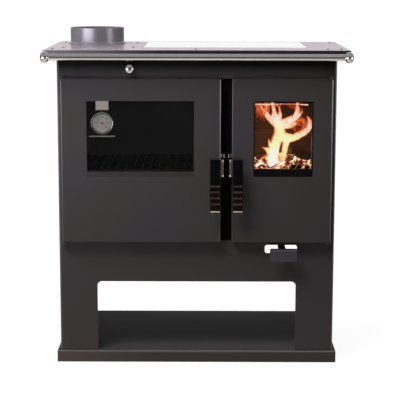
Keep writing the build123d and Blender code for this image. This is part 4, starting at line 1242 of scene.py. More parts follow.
def dial_ticks(centre, radius, face):
    """Grids of the dial's ticks: each a thin oblong from its inner to its outer radius."""
    last = (DIAL_NUMBERS - 1) * TICKS_A_NUMBER
    grids = []
    for number in range(last + 1):
        angle = dial_angle(number / last)
        inner, half = (SHORT_TICK, 0.00016) if number % TICKS_A_NUMBER else (LONG_TICK, 0.00028)
        reach = radius * np.array([[inner, inner], [TICK_END, TICK_END]])
        side = np.array([[-half, half], [-half, half]])
        x = centre.x + reach * math.cos(angle) - side * math.sin(angle)
        z = centre.z + reach * math.sin(angle) + side * math.cos(angle)
        grids.append(np.stack([x, np.full((2, 2), face), z], -1))
    return grids


def dial_ring(centre, inner, outer, face):
    """Grid of a ring of painted shadow: each row a circle, from the inner to the outer radius."""
    angle = np.linspace(0, TURN, 64, endpoint=False)[None, :]
    radius = np.linspace(inner, outer, 3)[:, None]
    x = centre.x + radius * np.cos(angle)
    z = centre.z + radius * np.sin(angle)
    return np.stack([x, np.full_like(x, face), z], -1)


def dial_numbers(centre, radius, face, low, step):
    """Mesh of the numbers, written upright round the dial."""
    work = bmesh.new()
    for number in range(DIAL_NUMBERS):
        angle = dial_angle(number / (DIAL_NUMBERS - 1))
        text = bpy.data.curves.new("dial_number", "FONT")
        text.body = str(low + step * number)
        text.size = radius * NUMBER_SIZE
        text.align_x = "CENTER"
        text.align_y = "CENTER"
        writer = bpy.data.objects.new("dial_number", text)
        flat = bpy.data.meshes.new_from_object(writer)
        reach = radius * NUMBER_REACH
        place = (centre.x + reach * math.cos(angle), face, centre.z + reach * math.sin(angle))
        flat.transform(Matrix.Translation(place) @ Matrix.Rotation(math.pi / 2, 4, "X"))
        work.from_mesh(flat)
        bpy.data.objects.remove(writer)
        bpy.data.curves.remove(text)
        bpy.data.meshes.remove(flat)
    mesh = bpy.data.meshes.new("dial_numbers")
    work.to_mesh(mesh)
    work.free()
    return mesh


# profile of the bezel from its back: (share of the case's depth, share of its radius), a
# plain barrel, a rolled rim and the step down to the lens
BEZEL = (
    (0.0, 0.0),
    (0.0, 0.90),
    (0.0, 0.94),
    (0.08, 0.965),
    (0.70, 0.965),
    (0.80, 0.99),
    (0.90, 1.0),
    (0.98, 0.985),
    (1.0, 0.955),
    (0.97, 0.915),
    (0.92, 0.895),
    (0.84, 0.890),
    (0.70, 0.890),
)

# how far the ink stands before the dial's face, and how far the painted shadow ring stands behind
# the ink
INK = 0.00005
SHADOW_BACK = 0.00002


class COOKSTOVE_OT_thermometer(bpy.types.Operator):
    """Rolled bezel, printed dial with a painted shadow ring under the bezel, and red needle of the
    oven thermometer
    """

    bl_idname = "cookstove.thermometer"
    bl_label = "Oven thermometer"

    def execute(self, context):
        sizes = settings("fittings")
        low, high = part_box("thermometer_case")
        centre = (low + high) / 2
        size = (high.y - low.y, (high.x - low.x) / 2)
        bezel = swept_round(np.array(BEZEL) * size, (centre.x, high.y, centre.z), (0, -1, 0), 72)
        bright = chrome("bezel_chrome", shade(settings("finishes").chrome, 0.85), 0.14)
        stands_for = ["thermometer_case"]
        round_piece("thermometer_bezel", [bezel], bright, "oven_door", stands_for)
        finish_nodes(printed("dial_face", (0.95, 0.90, 0.90)), "thermometer_dial")
        finish_nodes(printed("needle_red", (0.90, 0.055, 0.10)), "thermometer_needle")
        finish_nodes(bracket_tin((0.90, 0.76, 0.69)), "thermometer_bracket")
        dial_low, dial_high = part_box("thermometer_dial")
        face = dial_low.y - INK
        dial = (dial_high.x - dial_low.x) / 2
        scale = dial * SCALE_REACH
        # painted shadow: a dark ring on the dial's rim where the bezel's shade falls
        ring = dial_ring(centre, dial * SHADOW_INSIDE, dial * SHADOW_OUTSIDE, face + SHADOW_BACK)
        dial_marks = {
            "dial_ring": surface_mesh("dial_ring", [ring], ring_columns=True),
            "dial_ticks": surface_mesh("dial_ticks", dial_ticks(centre, scale, face)),
            "dial_numbers": dial_numbers(centre, scale, face, sizes.dial_low, sizes.dial_step),
        }
        ink_and_shadow = printed("dial_ink_and_shadow", (0.012, 0.012, 0.013))
        for name, mesh in dial_marks.items():
            new_piece(name, mesh, ink_and_shadow, "oven_door")
        return {"FINISHED"}


# ---------------------------------------------------------------- fire

# the part of the firebox that shows at the depth of the flames, which the camera sees a little
# to the right of the window's opening and lower
PANE_LOW, PANE_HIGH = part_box("firebox_door_glass")
FLAME_DEPTH = 0.120
FIRE_LEFT = PANE_LOW.x + 0.0220
FIRE_WIDTH = PANE_HIGH.x - PANE_LOW.x - 0.0260
FIRE_BASE = PANE_LOW.z - 0.0060
FIRE_HEIGHT = PANE_HIGH.z - PANE_LOW.z - 0.0229
MILLIMETRE = 0.001

# each flame is a track of knots: millimetres to the right and up from the fire's
# corner, which is the lower left one of the part that shows, half the flame's width in
# millimetres, and its heat; the bright ones burn in front of the red ones
BRIGHT_FLAMES = {
    "trunk": (
        (51.5, -14, 21.5, 1.15), (50, 8.5, 20.5, 1.14), (50, 28, 18.5, 1.12),
        (49.5, 44.5, 18.5, 1.08), (53, 64.5, 16.5, 1), (59, 82.5, 15.5, 0.96),
        (65.5, 98, 16.5, 0.95), (67.5, 113, 17, 0.95), (63.5, 127, 14, 0.95), (59, 141, 10, 0.92),
    ),
    "inner strand": (
        (77, 17, 4.5, 0.7), (78.5, 30.5, 6.5, 0.8), (79.5, 44.5, 9, 0.86), (81, 56, 9.5, 0.88),
        (84, 71.5, 10.5, 0.92), (87, 85, 11.5, 0.94),
    ),
    "strand foot": ((69.5, 47, 5.5, 0.82), (70.5, 33.5, 6.5, 0.8), (68.5, 19.5, 6.5, 0.86)),
    "right branch": (
        (74, 93, 15.5, 0.94), (94.5, 91.5, 14, 0.95), (112.5, 95, 11.5, 0.94),
        (128, 103, 10.5, 0.86), (140, 110.5, 10, 0.82), (149.5, 125, 10, 0.78),
        (149, 140, 6.5, 0.7), (142, 153, 2.5, 0.58),
    ),
    "far left tongue": (
        (58, 130, 12.5, 0.84), (46, 140.5, 11, 0.77), (33.5, 153.5, 9.5, 0.72),
        (22.5, 166, 7, 0.66), (14, 180.5, 4, 0.56),
    ),
    "left tongue": (
        (59, 134, 12, 0.86), (53.5, 150.5, 11.5, 0.82), (49, 166, 9, 0.77),
        (46.5, 181.5, 7, 0.73), (46, 194.5, 5.5, 0.7),
    ),
    "middle tongue": (
        (64, 143.5, 9.5, 0.78), (67.5, 158.5, 6.5, 0.72), (66.5, 171, 4.5, 0.66),
        (62.5, 181.5, 2.5, 0.56),
    ),
    "middle thread": ((69.5, 150.5, 4, 0.66), (75, 163.5, 2.5, 0.6), (74, 174.5, 1.5, 0.52)),
    "right tongue": (
        (68.5, 130, 13.5, 0.86), (87.5, 137, 13, 0.82), (104, 145, 11.5, 0.79),
        (113, 157.5, 9, 0.75), (116, 170.5, 7, 0.71), (115.5, 184.5, 5.5, 0.66),
        (114.5, 194.5, 4.5, 0.62),
    ),
    "right fork": (
        (101.5, 140, 8, 0.76), (118, 150.5, 6, 0.7), (126.5, 161.5, 3.5, 0.58),
        (129.5, 169, 1.5, 0.5),
    ),
    "crossing": ((74, 123, 11.5, 0.86), (96, 127, 10, 0.76), (113, 132, 5.5, 0.66)),
    "left lick": (
        (42.5, 51.5, 11.5, 0.96), (32, 59, 7, 0.86), (22.5, 63.5, 3, 0.74), (15, 65.5, 0.5, 0.6),
    ),
    "small left lick": ((41.5, 70.5, 6, 0.86), (38, 82.5, 3.5, 0.76), (36.5, 94.5, 0.5, 0.6)),
    "glowing foot": (
        (5.5, -3.5, 4, 0.8), (30, -0.5, 4.5, 0.9), (52, 0, 5.5, 1), (79.5, -2.5, 4, 0.8),
        (96, -0.5, 2.5, 0.66),
    ),
    "upper edge": (
        (0, 185, 2.5, 1.08), (27.5, 184.5, 3, 1.08), (52, 185, 2.5, 1.08), (82, 185.5, 2, 1.08),
        (115, 185, 2.5, 1.08), (143, 183.5, 3, 1.08),
    ),
}
RED_FLAMES = {
    "right curl": (
        (109, 112, 7, 0.48), (111, 127, 10, 0.54), (122.5, 137.5, 11, 0.57),
        (136, 133.5, 10.5, 0.55), (140, 120.5, 9, 0.57), (135, 109, 7, 0.6),
    ),
    "curl thread one": ((97, 100.5, 2.5, 0.6), (101.5, 112, 4, 0.6), (108, 123, 4, 0.54)),
    "curl thread two": ((120.5, 105, 2.5, 0.62), (121, 116, 3, 0.64), (125, 127, 3, 0.6)),
    "curl thread three": (
        (111, 103, 2.5, 0.6), (112.5, 112.5, 2.5, 0.62), (114, 119.5, 1.5, 0.54),
    ),
    "curl thread four": ((132, 108.5, 2.5, 0.62), (134, 117.5, 2.5, 0.62), (137, 126, 2, 0.56)),
    "tall left veil": (
        (29.5, 140, 4.5, 0.24), (30.5, 150.5, 6.5, 0.44), (32, 160.5, 7.5, 0.6),
        (30.5, 176, 7.5, 0.66), (27.5, 192.5, 5.5, 0.64),
    ),
    "inner left veil": ((41, 148, 4, 0.4), (41, 166, 5.5, 0.58), (39.5, 181.5, 5.5, 0.6)),
    "outer left veil": (
        (19.5, 126, 6.5, 0.16), (18, 137, 7, 0.3), (15.5, 150.5, 7.5, 0.46), (11, 163.5, 7, 0.54),
        (7, 177.5, 6, 0.54),
    ),
    "low left veil": ((27.5, 125, 4.5, 0.16), (25.5, 136.5, 6, 0.34), (21, 153.5, 7, 0.52)),
    "far left veil": (
        (6, 131.5, 4.5, 0.16), (6, 148, 5.5, 0.38), (4.5, 167.5, 6, 0.5), (2.5, 181.5, 5.5, 0.54),
    ),
    "left haze": ((4, 177.5, 13.5, 0.4), (24.5, 167.5, 21, 0.46), (46.5, 156.5, 16.5, 0.46)),
    "right haze": (
        (92, 177.5, 6, 0.36), (108, 173.5, 8, 0.46), (125, 167.5, 8, 0.44),
        (134, 153.5, 5.5, 0.34),
    ),
    "curl haze": ((102.5, 112, 11, 0.36), (122, 125, 19, 0.42), (137, 113, 12, 0.42)),
    "left foot lick": (
        (2, 10.5, 2.5, 0.72), (13.5, 22, 4, 0.76), (26.5, 34.5, 4, 0.7), (32.5, 43, 1.5, 0.58),
    ),
    "left foot thread": (
        (2.5, 0, 3.5, 0.72), (18, 7.5, 4, 0.78), (30.5, 18, 3.5, 0.78), (38.5, 28, 2, 0.74),
    ),
    "upper band": (
        (0, 177.5, 4.5, 0.56), (27.5, 179, 6, 0.62), (55, 178, 5.5, 0.62), (90.5, 181.5, 4, 0.54),
        (123.5, 181.5, 4.5, 0.6), (145, 179, 2.5, 0.56),
    ),
    "right foot curl": (
        (107, -1.5, 4.5, 0.7), (123.5, 4, 3.5, 0.7), (136, 14.5, 2.5, 0.7),
        (128.5, 26.5, 1.5, 0.64), (112.5, 37, 1, 0.58), (96, 41.5, 1, 0.52),
    ),
    "right foot lick": ((96, 17, 3.5, 0.74), (101.5, 26, 2.5, 0.72), (105, 34.5, 1, 0.6)),
    "right edge lick": ((148, 5.5, 2.5, 0.72), (149, 16, 2, 0.7), (150.5, 26, 1, 0.58)),
    "middle foot lick": (
        (66.5, 0, 5, 0.84), (79.5, 8.5, 4.5, 0.76), (96, 15.5, 3, 0.7), (107, 24, 2, 0.62),
        (101.5, 30.5, 1, 0.5),
    ),
}

# dark tracks between the flames, in the same terms
FLAME_HOLES = {
    "between tongues": (
        (77, 177.5, 4.5, 0.9), (82.5, 166, 10, 1), (82, 154.5, 6.5, 0.9), (79, 148.5, 2.5, 0.7),
    ),
    "beside trunk": (
        (74, 72.5, 1.5, 0.8), (72, 64.5, 2.5, 1), (69, 56, 2.5, 1), (67.5, 50.5, 1, 0.7),
    ),
    "under crossing": ((74.5, 111.5, 1, 0.5), (82, 115, 2, 0.6), (90, 118.5, 1, 0.5)),
    "under curl": ((90, 109.5, 3.5, 0.45), (97, 108.5, 5.5, 0.55), (105.5, 105, 4, 0.5)),
    "inside curl": ((120, 119.5, 2, 0.3), (124.5, 118, 3.5, 0.38), (127, 120.5, 2, 0.3)),
    "between left veils": (
        (41, 150.5, 1.5, 0.3), (43.5, 160.5, 3.5, 0.5), (42.5, 172, 3, 0.5), (42, 181.5, 2, 0.4),
    ),
    "inside trunk": ((61, 28, 1, 0.35), (64, 39, 1.5, 0.45), (63, 44.5, 1, 0.35)),
}
HOLE_SOFTNESS = 0.35

# a track's points, its least half width, and the blur that every edge has, in millimetres
TRACK_POINTS = 40
THINNEST = 0.3
EDGE_BLUR = 1.9

# how far the curtains reach, as shares of the part that shows
CURTAIN_ACROSS = (-0.02, 1.06)
CURTAIN_UP = (-0.10, 1.10)
COLDEST_SHOWN = 0.03

# the lamp that stands for the flames' light, placed in millimetres to the right of the fire's
# corner, behind the front and up from the corner
GLOW_PLACE = (63, 170, 66)
GLOW_COLOUR = (1.0, 0.52, 0.26)


def fire_place(right, depth, up):
    """Point in the firebox, from millimetres right, behind the front and up from its corner."""
    corner = np.array([FIRE_LEFT, FRONT, FIRE_BASE])
    return corner + np.array([right, depth, up]) * MILLIMETRE


def track_heat(across, up, knots, softness):
    """Heat that one track gives to places in the fire.

    A place takes the heat of the track's point that counts most there: the heat times a smooth
    step of the distance. The softness is a share of the half width. The step is 0 outside the
    half width plus that share, and 1 inside the half width less that share and the blur.
    """
    track = smooth_track(knots, TRACK_POINTS)
    away = np.hypot(across[..., None] - track[:, 0], up[..., None] - track[:, 1])
    edge = np.maximum(track[:, 2], THINNEST)
    share = (edge * (1 + softness) - away) / (2 * softness * edge + EDGE_BLUR)
    share = np.clip(share, 0, 1)
    return (share**2 * (3 - 2 * share) * track[:, 3]).max(-1)


def flame_curtain(flames, softness, depth, swell, rows, columns):
    """Grid of a curtain of flames and the heat of its points.

    The heats of all tracks are joined by the tenth root of the sum of their tenth powers, and
    the holes' are taken off. The curtain swells towards the window by the heat.
    """
    across, up = np.meshgrid(
        np.linspace(*CURTAIN_ACROSS, columns) * FIRE_WIDTH / MILLIMETRE,
        np.linspace(*CURTAIN_UP, rows) * FIRE_HEIGHT / MILLIMETRE,
    )
    tracks = np.array([track_heat(across, up, knots, softness) for knots in flames.values()])
    holes = [track_heat(across, up, knots, HOLE_SOFTNESS) for knots in FLAME_HOLES.values()]
    heat = np.clip((tracks**10).sum(0) ** 0.1 - np.max(holes, 0), 0, None)
    x = FIRE_LEFT + across * MILLIMETRE
    z = FIRE_BASE + up * MILLIMETRE
    y = FRONT + FLAME_DEPTH + depth - swell * np.minimum(heat, 1.0)
    return np.stack([x, y, z], -1), heat


def curtain_mesh(name, grid, heat):
    """Mesh of a curtain without its cold faces, with the heat as the attribute warmth.

    A face's corners are taken backwards, which turns it towards the window.
    """
    faces, _, _ = grid_faces(*heat.shape)
    warm = heat.ravel()[faces].max(1) > COLDEST_SHOWN
    kept, numbers = np.unique(faces[warm], return_inverse=True)
    mesh = bpy.data.meshes.new(name)
    quads = numbers.reshape(-1, 4)[:, ::-1]
    mesh.from_pydata(grid.reshape(-1, 3)[kept].tolist(), [], quads.tolist())
    mesh.polygons.foreach_set("use_smooth", np.ones(len(mesh.polygons), bool))
    mesh.attributes.new("warmth", "FLOAT", "POINT").data.foreach_set("value", heat.ravel()[kept])
    mesh.update()
    return mesh


# colours of burning gas by its heat: low down and in the middle, and then high up and aside
YELLOW_FIRE = (
    (0.08, (0.10, 0.006, 0.001)),
    (0.24, (0.50, 0.055, 0.010)),
    (0.36, (0.86, 0.19, 0.040)),
    (0.50, (1.00, 0.42, 0.150)),
    (0.62, (1.00, 0.72, 0.380)),
    (0.72, (1.00, 0.93, 0.440)),
    (0.86, (1.00, 1.00, 0.580)),
    (0.97, (1.00, 1.00, 0.960)),
)
PEACH_FIRE = (
    (0.08, (0.10, 0.006, 0.001)),
    (0.24, (0.52, 0.060, 0.012)),
    (0.36, (0.88, 0.18, 0.050)),
    (0.46, (1.00, 0.38, 0.170)),
    (0.56, (1.00, 0.64, 0.460)),
    (0.66, (1.00, 0.80, 0.700)),
    (0.78, (1.00, 0.90, 0.820)),
    (0.90, (1.00, 0.99, 0.620)),
)


def flame_finish(name, strength, share, bitten):
    """Burning gas: yellow-white where hot, then pale, orange, red and clear.

    The heat is a share of the mesh's own, less the bitten share of drawn-out noise, which bites
    hardest where the heat is middling. High up and at the right, the hot parts turn from yellow
    to a pale peach.
    """
    finish = Finish(name, base_color=BLACK, roughness=1.0, specular_ior_level=0.0)
    licks = finish.noise(70.0, detail=4.0, roughness=0.6, distortion=1.1, stretch=(1.6, 1.0, 0.6))
    threads = finish.noise(210.0, detail=3.0, distortion=0.6, stretch=(1.5, 1.0, 0.35))
    bite = finish.math(
        "ADD",
        finish.span(licks, 0.30, 0.70, -0.08, 0.26),
        finish.span(threads, 0.35, 0.75, -0.04, 0.11),
    )
    own = finish.node("Attribute", {"attribute_name": "warmth"}).outputs["Fac"]
    warmth = finish.times(own, share)
    firm = finish.span(warmth, 0.75, 1.0, bitten, 0.35 * bitten)
    heat = finish.math("SUBTRACT", warmth, finish.times(bite, firm))
    rise = finish.span(
        finish.axis("Z"), FIRE_BASE + 0.60 * FIRE_HEIGHT, FIRE_BASE + 0.78 * FIRE_HEIGHT
    )
    aside = finish.span(
        finish.axis("X"), FIRE_LEFT + 0.74 * FIRE_WIDTH, FIRE_LEFT + 0.86 * FIRE_WIDTH
    )
    yellow, peach = finish.shades(heat, *YELLOW_FIRE), finish.shades(heat, *PEACH_FIRE)
    finish.glow(finish.blend(finish.most(rise, aside), yellow, peach), strength)
    finish.set(alpha=finish.span(heat, 0.05, 0.34))
    return finish.material


class COOKSTOVE_OT_flames(bpy.types.Operator):
    """Two curtains of flame behind the fire window, and the light that they throw"""

    bl_idname = "cookstove.flames"
    bl_label = "Flames"

    def execute(self, context):
        fire = settings("fire")
        bright = flame_finish("flame", fire.flame_strength, share=0.89, bitten=1.0)
        grid, heat = flame_curtain(
            BRIGHT_FLAMES, softness=0.34, depth=0.0, swell=0.016, rows=260, columns=220
        )
        new_piece("flames", curtain_mesh("flames", grid, heat), bright, "root")
        red = flame_finish("red_flame", 1.05 * fire.flame_strength, share=0.66, bitten=0.45)
        grid, heat = flame_curtain(
            RED_FLAMES, softness=0.70, depth=0.030, swell=0.010, rows=200, columns=170
        )
        new_piece("red_flames", curtain_mesh("red_flames", grid, heat), red, "root")
        glow = bpy.data.lights.new("fire_glow", "POINT")
        glow.energy = fire.glow_power
        glow.color = GLOW_COLOUR
        glow.shadow_soft_size = 0.03
        lamp = bpy.data.objects.new("fire_glow", glow)
        lamp.location = fire_place(*GLOW_PLACE)
        bpy.context.scene.collection.objects.link(lamp)
        return {"FINISHED"}


# each log: radius as a share of the thickest, then its two ends, each in millimetres right,
# behind the front and up from the fire's corner
LOGS = (
    (1.00, (-12, 250, -20.5), (138, 190, -13.5)),
    (0.85, (13, 120, -23.5), (83, 290, -5.5)),
    (0.70, (23, 130, 2.5), (100, 205, 27.5)),
    (0.60, (154, 150, -25.5), (96, 240, 42.5)),
)

# unlit sticks whose ends face the window, in the same terms
STICKS = (
    (0.27, (104, 78, 15), (106, 180, -5.5)),
    (0.27, (121, 80, 15), (121, 180, -5.5)),
    (0.25, (142, 78, 14.5), (140, 180, -7.5)),
)

# thin burning twigs that lie crosswise before them, in the same terms
KINDLING = (
    (0.17, (-1, 100, 12.5), (34, 112, 37)),
    (0.14, (1.5, 98, 1.5), (40.5, 110, 19.5)),
    (0.15, (26, 94, 0.5), (87, 108, 28)),
    (0.13, (7.5, 108, 28), (46, 100, 5)),
    (0.13, (66.5, 112, 29), (96, 112, 43)),
    (0.15, (96, 112, 43), (119.5, 104, 33)),
    (0.15, (119.5, 104, 33), (138, 98, 15.5)),
    (0.13, (75.5, 100, 11.5), (111.5, 110, 29.5)),
    (0.11, (101, 100, 3), (108.5, 112, 32)),
    (0.14, (132.5, 96, 5), (154, 110, 29.5)),
    (0.12, (121.5, 94, 3.5), (149.5, 104, 20.5)),
    (0.12, (48.5, 104, 2.5), (76, 112, 32)),
    (0.10, (82, 96, 3.5), (100.5, 106, 20)),
)


def charred_log(radius, start, end, seed, rows=60, columns=28):
    """Grid of a log: a cylinder between its ends, shut by shrinking its last rings.

    The radius is swelled by a few sine waves round and along it, so that it is lumpy and
    ridged like split wood.
    """
    random = np.random.default_rng(seed)
    start, end = fire_place(*start), fire_place(*end)
    axis = (end - start) / np.linalg.norm(end - start)
    side = np.cross(axis, (0.0, 0.0, 1.0))
    side /= np.linalg.norm(side)
    share = np.concatenate([[0.0, 0.0], np.linspace(0, 1, rows), [1.0, 1.0]])
    shrink = np.concatenate([[0.0, 0.7], np.ones(rows), [0.7, 0.0]])
    angle = np.linspace(0, TURN, columns, endpoint=False)
    swell = 1.0 + sum(
        0.35
        / wave
        * random.uniform(0.3, 0.8)
        * np.sin(wave * angle[None, :] + random.uniform(3, 14) * share[:, None] + phase)
        for wave, phase in zip((2, 3, 5, 7, 9), random.uniform(0, TURN, 5))
    )
    reach = radius * shrink[:, None] * swell
    return (
        start
        + share[:, None, None] * (end - start)
        + reach[..., None] * spokes(side, np.cross(axis, side), columns)
    )


def charred_wood(strength):
    """Burning wood: black checks with ash on top, glowing through its cracks low down."""
    finish = Finish("charred_wood")
    ash = finish.noise(140.0, detail=5.0, roughness=0.7)
    char, scorched, white_ash = (0.004, 0.003, 0.003), (0.010, 0.006, 0.005), (0.05, 0.04, 0.04)
    finish.tint(ash, (0.45, char), (0.66, scorched), (0.82, white_ash))
    finish.dull(ash, 0.8, 1.0)
    checks = finish.cells(95.0, feature="DISTANCE_TO_EDGE", stretch=(1.0, 0.6, 1.3))
    low = finish.span(finish.axis("Z"), FIRE_BASE + 0.0275, FIRE_BASE - 0.0225)
    heart = finish.span(finish.noise(45.0), 0.42, 0.60)
    glow = finish.times(low, heart, finish.span(checks, 0.11, 0.0))
    dim, orange, bright = (0.3, 0.02, 0.0), (1.0, 0.20, 0.02), (1.0, 0.72, 0.35)
    finish.glow(
        finish.shades(glow, (0.0, dim), (0.35, orange), (0.8, bright)),
        finish.times(finish.span(glow, 0.02, 0.5), strength),
    )
    finish.relief(finish.math("ADD", finish.span(checks, 0.0, 0.2), ash), 0.002)
    return finish.material


class COOKSTOVE_OT_logs(bpy.types.Operator):
    """Charred logs, unlit sticks and burning twigs on the grate"""

    bl_idname = "cookstove.logs"
    bl_label = "Logs"

    def execute(self, context):
        fire = settings("fire")
        bark = rough_casting("black_bark", (0.003, 0.0022, 0.0022))
        twigs = ember_finish("kindling", fire.ember_strength, clouds=90.0, cold=0.42, hot=0.68)
        wood = {
            "logs": (LOGS, charred_wood(fire.ember_strength)),
            "sticks": (STICKS, bark),
            "kindling": (KINDLING, twigs),
        }
        for name, (shapes, finish) in wood.items():
            grids = [
                charred_log(fire.log_radius * share, start, end, seed)
                for seed, (share, start, end) in enumerate(shapes)
            ]
            round_piece(name, grids, finish, "root")
        return {"FINISHED"}


def ember_lump(place, radius, seed, rows=9, columns=12):
    """Grid of an ember: a ball squeezed along each axis and dented by two sine waves."""
    random = np.random.default_rng(seed)
    polar = np.linspace(0, math.pi, rows)[:, None]
    angle = np.linspace(0, TURN, columns, endpoint=False)[None, :]
    dent = 1 + 0.22 * np.sin(3 * angle + random.uniform(0, TURN)) * np.sin(polar) ** 2
    dent = dent + 0.15 * np.sin(4 * polar + random.uniform(0, TURN)) * np.sin(polar)
    ball = np.stack(
        [
            np.sin(polar) * np.cos(angle) * dent,
            np.sin(polar) * np.sin(angle) * dent,
            np.cos(polar) * dent,
        ],
        -1,
    )
    squeeze = random.uniform(0.6, 1.3, 3) * radius
    spin = np.array(Matrix.Rotation(random.uniform(0, TURN), 3, "Z"))
    return np.asarray(place) + (ball * squeeze) @ spin.T


def ember_finish(name, strength, clouds, cold, hot):
    """Glowing charcoal: orange to white in its hot patches, black and ashy between them.

    The patches are noise of so many clouds a metre, black below the cold value of the noise and
    white-hot from the hot one.
    """
    finish = Finish(name, roughness=0.95)
    patches = finish.noise(clouds, detail=3.0, roughness=0.64, distortion=0.8)
    finish.tint(patches, (0.3, (0.008, 0.006, 0.006)), (0.6, (0.10, 0.05, 0.04)))
    heat = finish.span(patches, cold, hot)
    colour = finish.shades(
        heat,
        (0.0, (0.25, 0.012, 0.002)),
        (0.25, (0.95, 0.16, 0.04)),
        (0.5, (1.0, 0.52, 0.28)),
        (0.8, (1.0, 0.88, 0.72)),
    )
    finish.glow(colour, finish.times(heat, strength))
    finish.relief(patches, 0.002)
    return finish.material


# bed of embers: how many, how deep it begins behind the front, and its room from the grate's
# sides and back
EMBERS = 190
BED_DEPTH = 0.098
BED_SIDE = 0.014
BED_BACK = 0.016


class COOKSTOVE_OT_embers(bpy.types.Operator):
    """Bed of glowing charcoal on the grate"""

    bl_idname = "cookstove.embers"
    bl_label = "Embers"

    def execute(self, context):
        fire = settings("fire")
        low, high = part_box("grate")
        random = np.random.default_rng(11)
        grids = []
        for seed in range(EMBERS):
            radius = fire.ember_size * random.uniform(0.6, 1.5)
            place = (
                random.uniform(low.x + BED_SIDE, high.x - BED_SIDE),
                random.uniform(FRONT + BED_DEPTH, high.y - BED_BACK),
                high.z + radius * random.uniform(0.7, 3.6),
            )
            grids.append(ember_lump(place, radius, seed))
        coals = ember_finish("ember", fire.ember_strength, clouds=95.0, cold=0.43, hot=0.67)
        round_piece("embers", grids, coals, "root")
        return {"FINISHED"}


# ---------------------------------------------------------------- studio

# levels of the studio's grey front wall and of its ceiling, where the backdrop is 1
FRONT_WALL = 0.33
CEILING = 0.12

# the lamps' colours, and what most of them are turned to
COOL = (0.96, 0.97, 1.0)
WARM = (1.0, 0.96, 0.97)
MIDDLE = (0.0, 0.0, 0.55)

# the low card is for these alone
CARD_RECEIVERS = (
    "thermometer_bracket",
    "oven_door_shell",
    "oven_door_glass",
    "oven_rack",
    "firebox_door_shell",
    "front_panel",
    "oven_latch_lever",
    "firebox_latch_lever",
    "oven_latch_grip",
    "firebox_latch_grip",
)

# width in millimetres that the camera's focal length goes with
SENSOR_WIDTH = 36.0

# half the floor's width and the vertices along it
FLOOR_REACH = 60.0
FLOOR_POINTS = 25


def area_lamp(name, place, aim, size, power, mirrored=False, colour=WHITE):
    """Oblong lamp turned towards the aim: it either lights surfaces or shows in mirrors."""
    lamp = bpy.data.lights.new(name, "AREA")
    lamp.shape = "RECTANGLE"
    lamp.size, lamp.size_y = size
    lamp.energy = power
    lamp.color = colour
    holder = bpy.data.objects.new(name, lamp)
    holder.location = place
    holder.rotation_euler = (Vector(aim) - Vector(place)).to_track_quat("-Z", "Y").to_euler()
    holder.visible_camera = False
    holder.visible_glossy = mirrored
    holder.visible_diffuse = not mirrored
    bpy.context.scene.collection.objects.link(holder)
    return holder


def show_only_in(lamp, names):
    """Keeps the lamp to the CAD nodes of these names, so that the chrome doesn't mirror it."""
    receivers = bpy.data.collections.new(lamp.name + "_receivers")
    for name in names:
        receivers.objects.link(bpy.data.objects[name])
    lamp.light_linking.receiver_collection = receivers


def studio_lamps(studio):
    """Soft lamps that light the stove, and softboxes and a low card for its glossy surfaces."""
    area_lamp("key", (-1.15, -1.5, 3.0), MIDDLE, (1.5, 1.2), studio.key_power)
    left, right = (-1.6, -1.8, 0.52), (2.1, -1.25, 0.52)
    area_lamp("left", left, MIDDLE, (1.9, 0.94), studio.left_power, True, COOL)
    area_lamp("right", right, MIDDLE, (1.0, 0.94), studio.right_power, True, WARM)
    low, above = (-0.25, -1.74, 0.48), (-0.2, 0.0, 0.7)
    card = area_lamp("low_card", low, above, (1.4, 0.4), studio.card_power, True, WARM)
    show_only_in(card, CARD_RECEIVERS)
    for name, side in (("left_side", -1), ("right_side", 1)):
        place = (side * 2.6, 0.35, 1.5)
        area_lamp(name, place, (0.0, 0.1, 0.5), (1.2, 1.2), studio.side_power)


def studio_world(room_level):
    """White wherever the camera looks; other rays see a studio that is white at the back.

    The level is 1 straight behind the object and the room's level elsewhere. Mirrors see a
    narrower white end, and a grey front wall from the horizon up; dull surfaces see a wider
    white end and a faint ceiling.
    """
    world = bpy.data.worlds.new("studio")
    world.use_nodes = True
    bpy.context.scene.world = world
    sky = Pattern(world.node_tree, "Generated")
    back, up = sky.axis("Y"), sky.axis("Z")

    def ends(back_low, back_high, up_low, up_high, top):
        white = sky.span(back, back_low, back_high, course="SMOOTHSTEP")
        grey = sky.span(up, up_low, up_high, 0.0, top, course="SMOOTHSTEP")
        return sky.most(white, grey)

    mirrored = ends(0.72, 0.95, 0.16, 0.45, FRONT_WALL)
    lit = ends(0.10, 0.60, 0.60, 0.95, CEILING)
    path = sky.node("LightPath").outputs
    chosen = sky.node("Mix", factor=path["Is Glossy Ray"], a=lit, b=mirrored).outputs["Result"]
    background = sky.nodes["Background"]
    sky.feed(background.inputs["Strength"], sky.most(chosen, room_level, path["Is Camera Ray"]))
    sky.feed(background.inputs["Color"], WHITE)


def floor_finish(white):
    """Pale floor that still takes shadows, with white added for the camera and for mirrors.

    The camera's share of white grows to full with the distance from the stove, and the
    mirrors' share falls from a bright strip at its foot to the dark end of the room.
    """
    finish = Finish("studio_floor", roughness=0.9, specular_ior_level=0.1)
    finish.tint(finish.noise(2.0), (0.3, shade(WHITE, 0.14)), (0.7, shade(WHITE, 0.15)))
    away = finish.node("VectorMath", {"operation": "LENGTH"}, vector=finish.place).outputs["Value"]
    path = finish.node("LightPath").outputs
    glossy = path["Is Glossy Ray"]
    near = finish.span(away, 0.25, 0.95, 0.85, 0.26)
    far = finish.span(away, 0.95, 2.1, 1.0, 0.06)
    mirrored = finish.times(glossy, near, far)
    shown = finish.times(path["Is Camera Ray"], finish.span(away, 0.8, 3.2, white, 1.0))
    finish.set(emission_color=finish.blend(glossy, WHITE, (1.0, 0.86, 0.78)))
    finish.set(emission_strength=finish.most(shown, mirrored))
    return finish.material


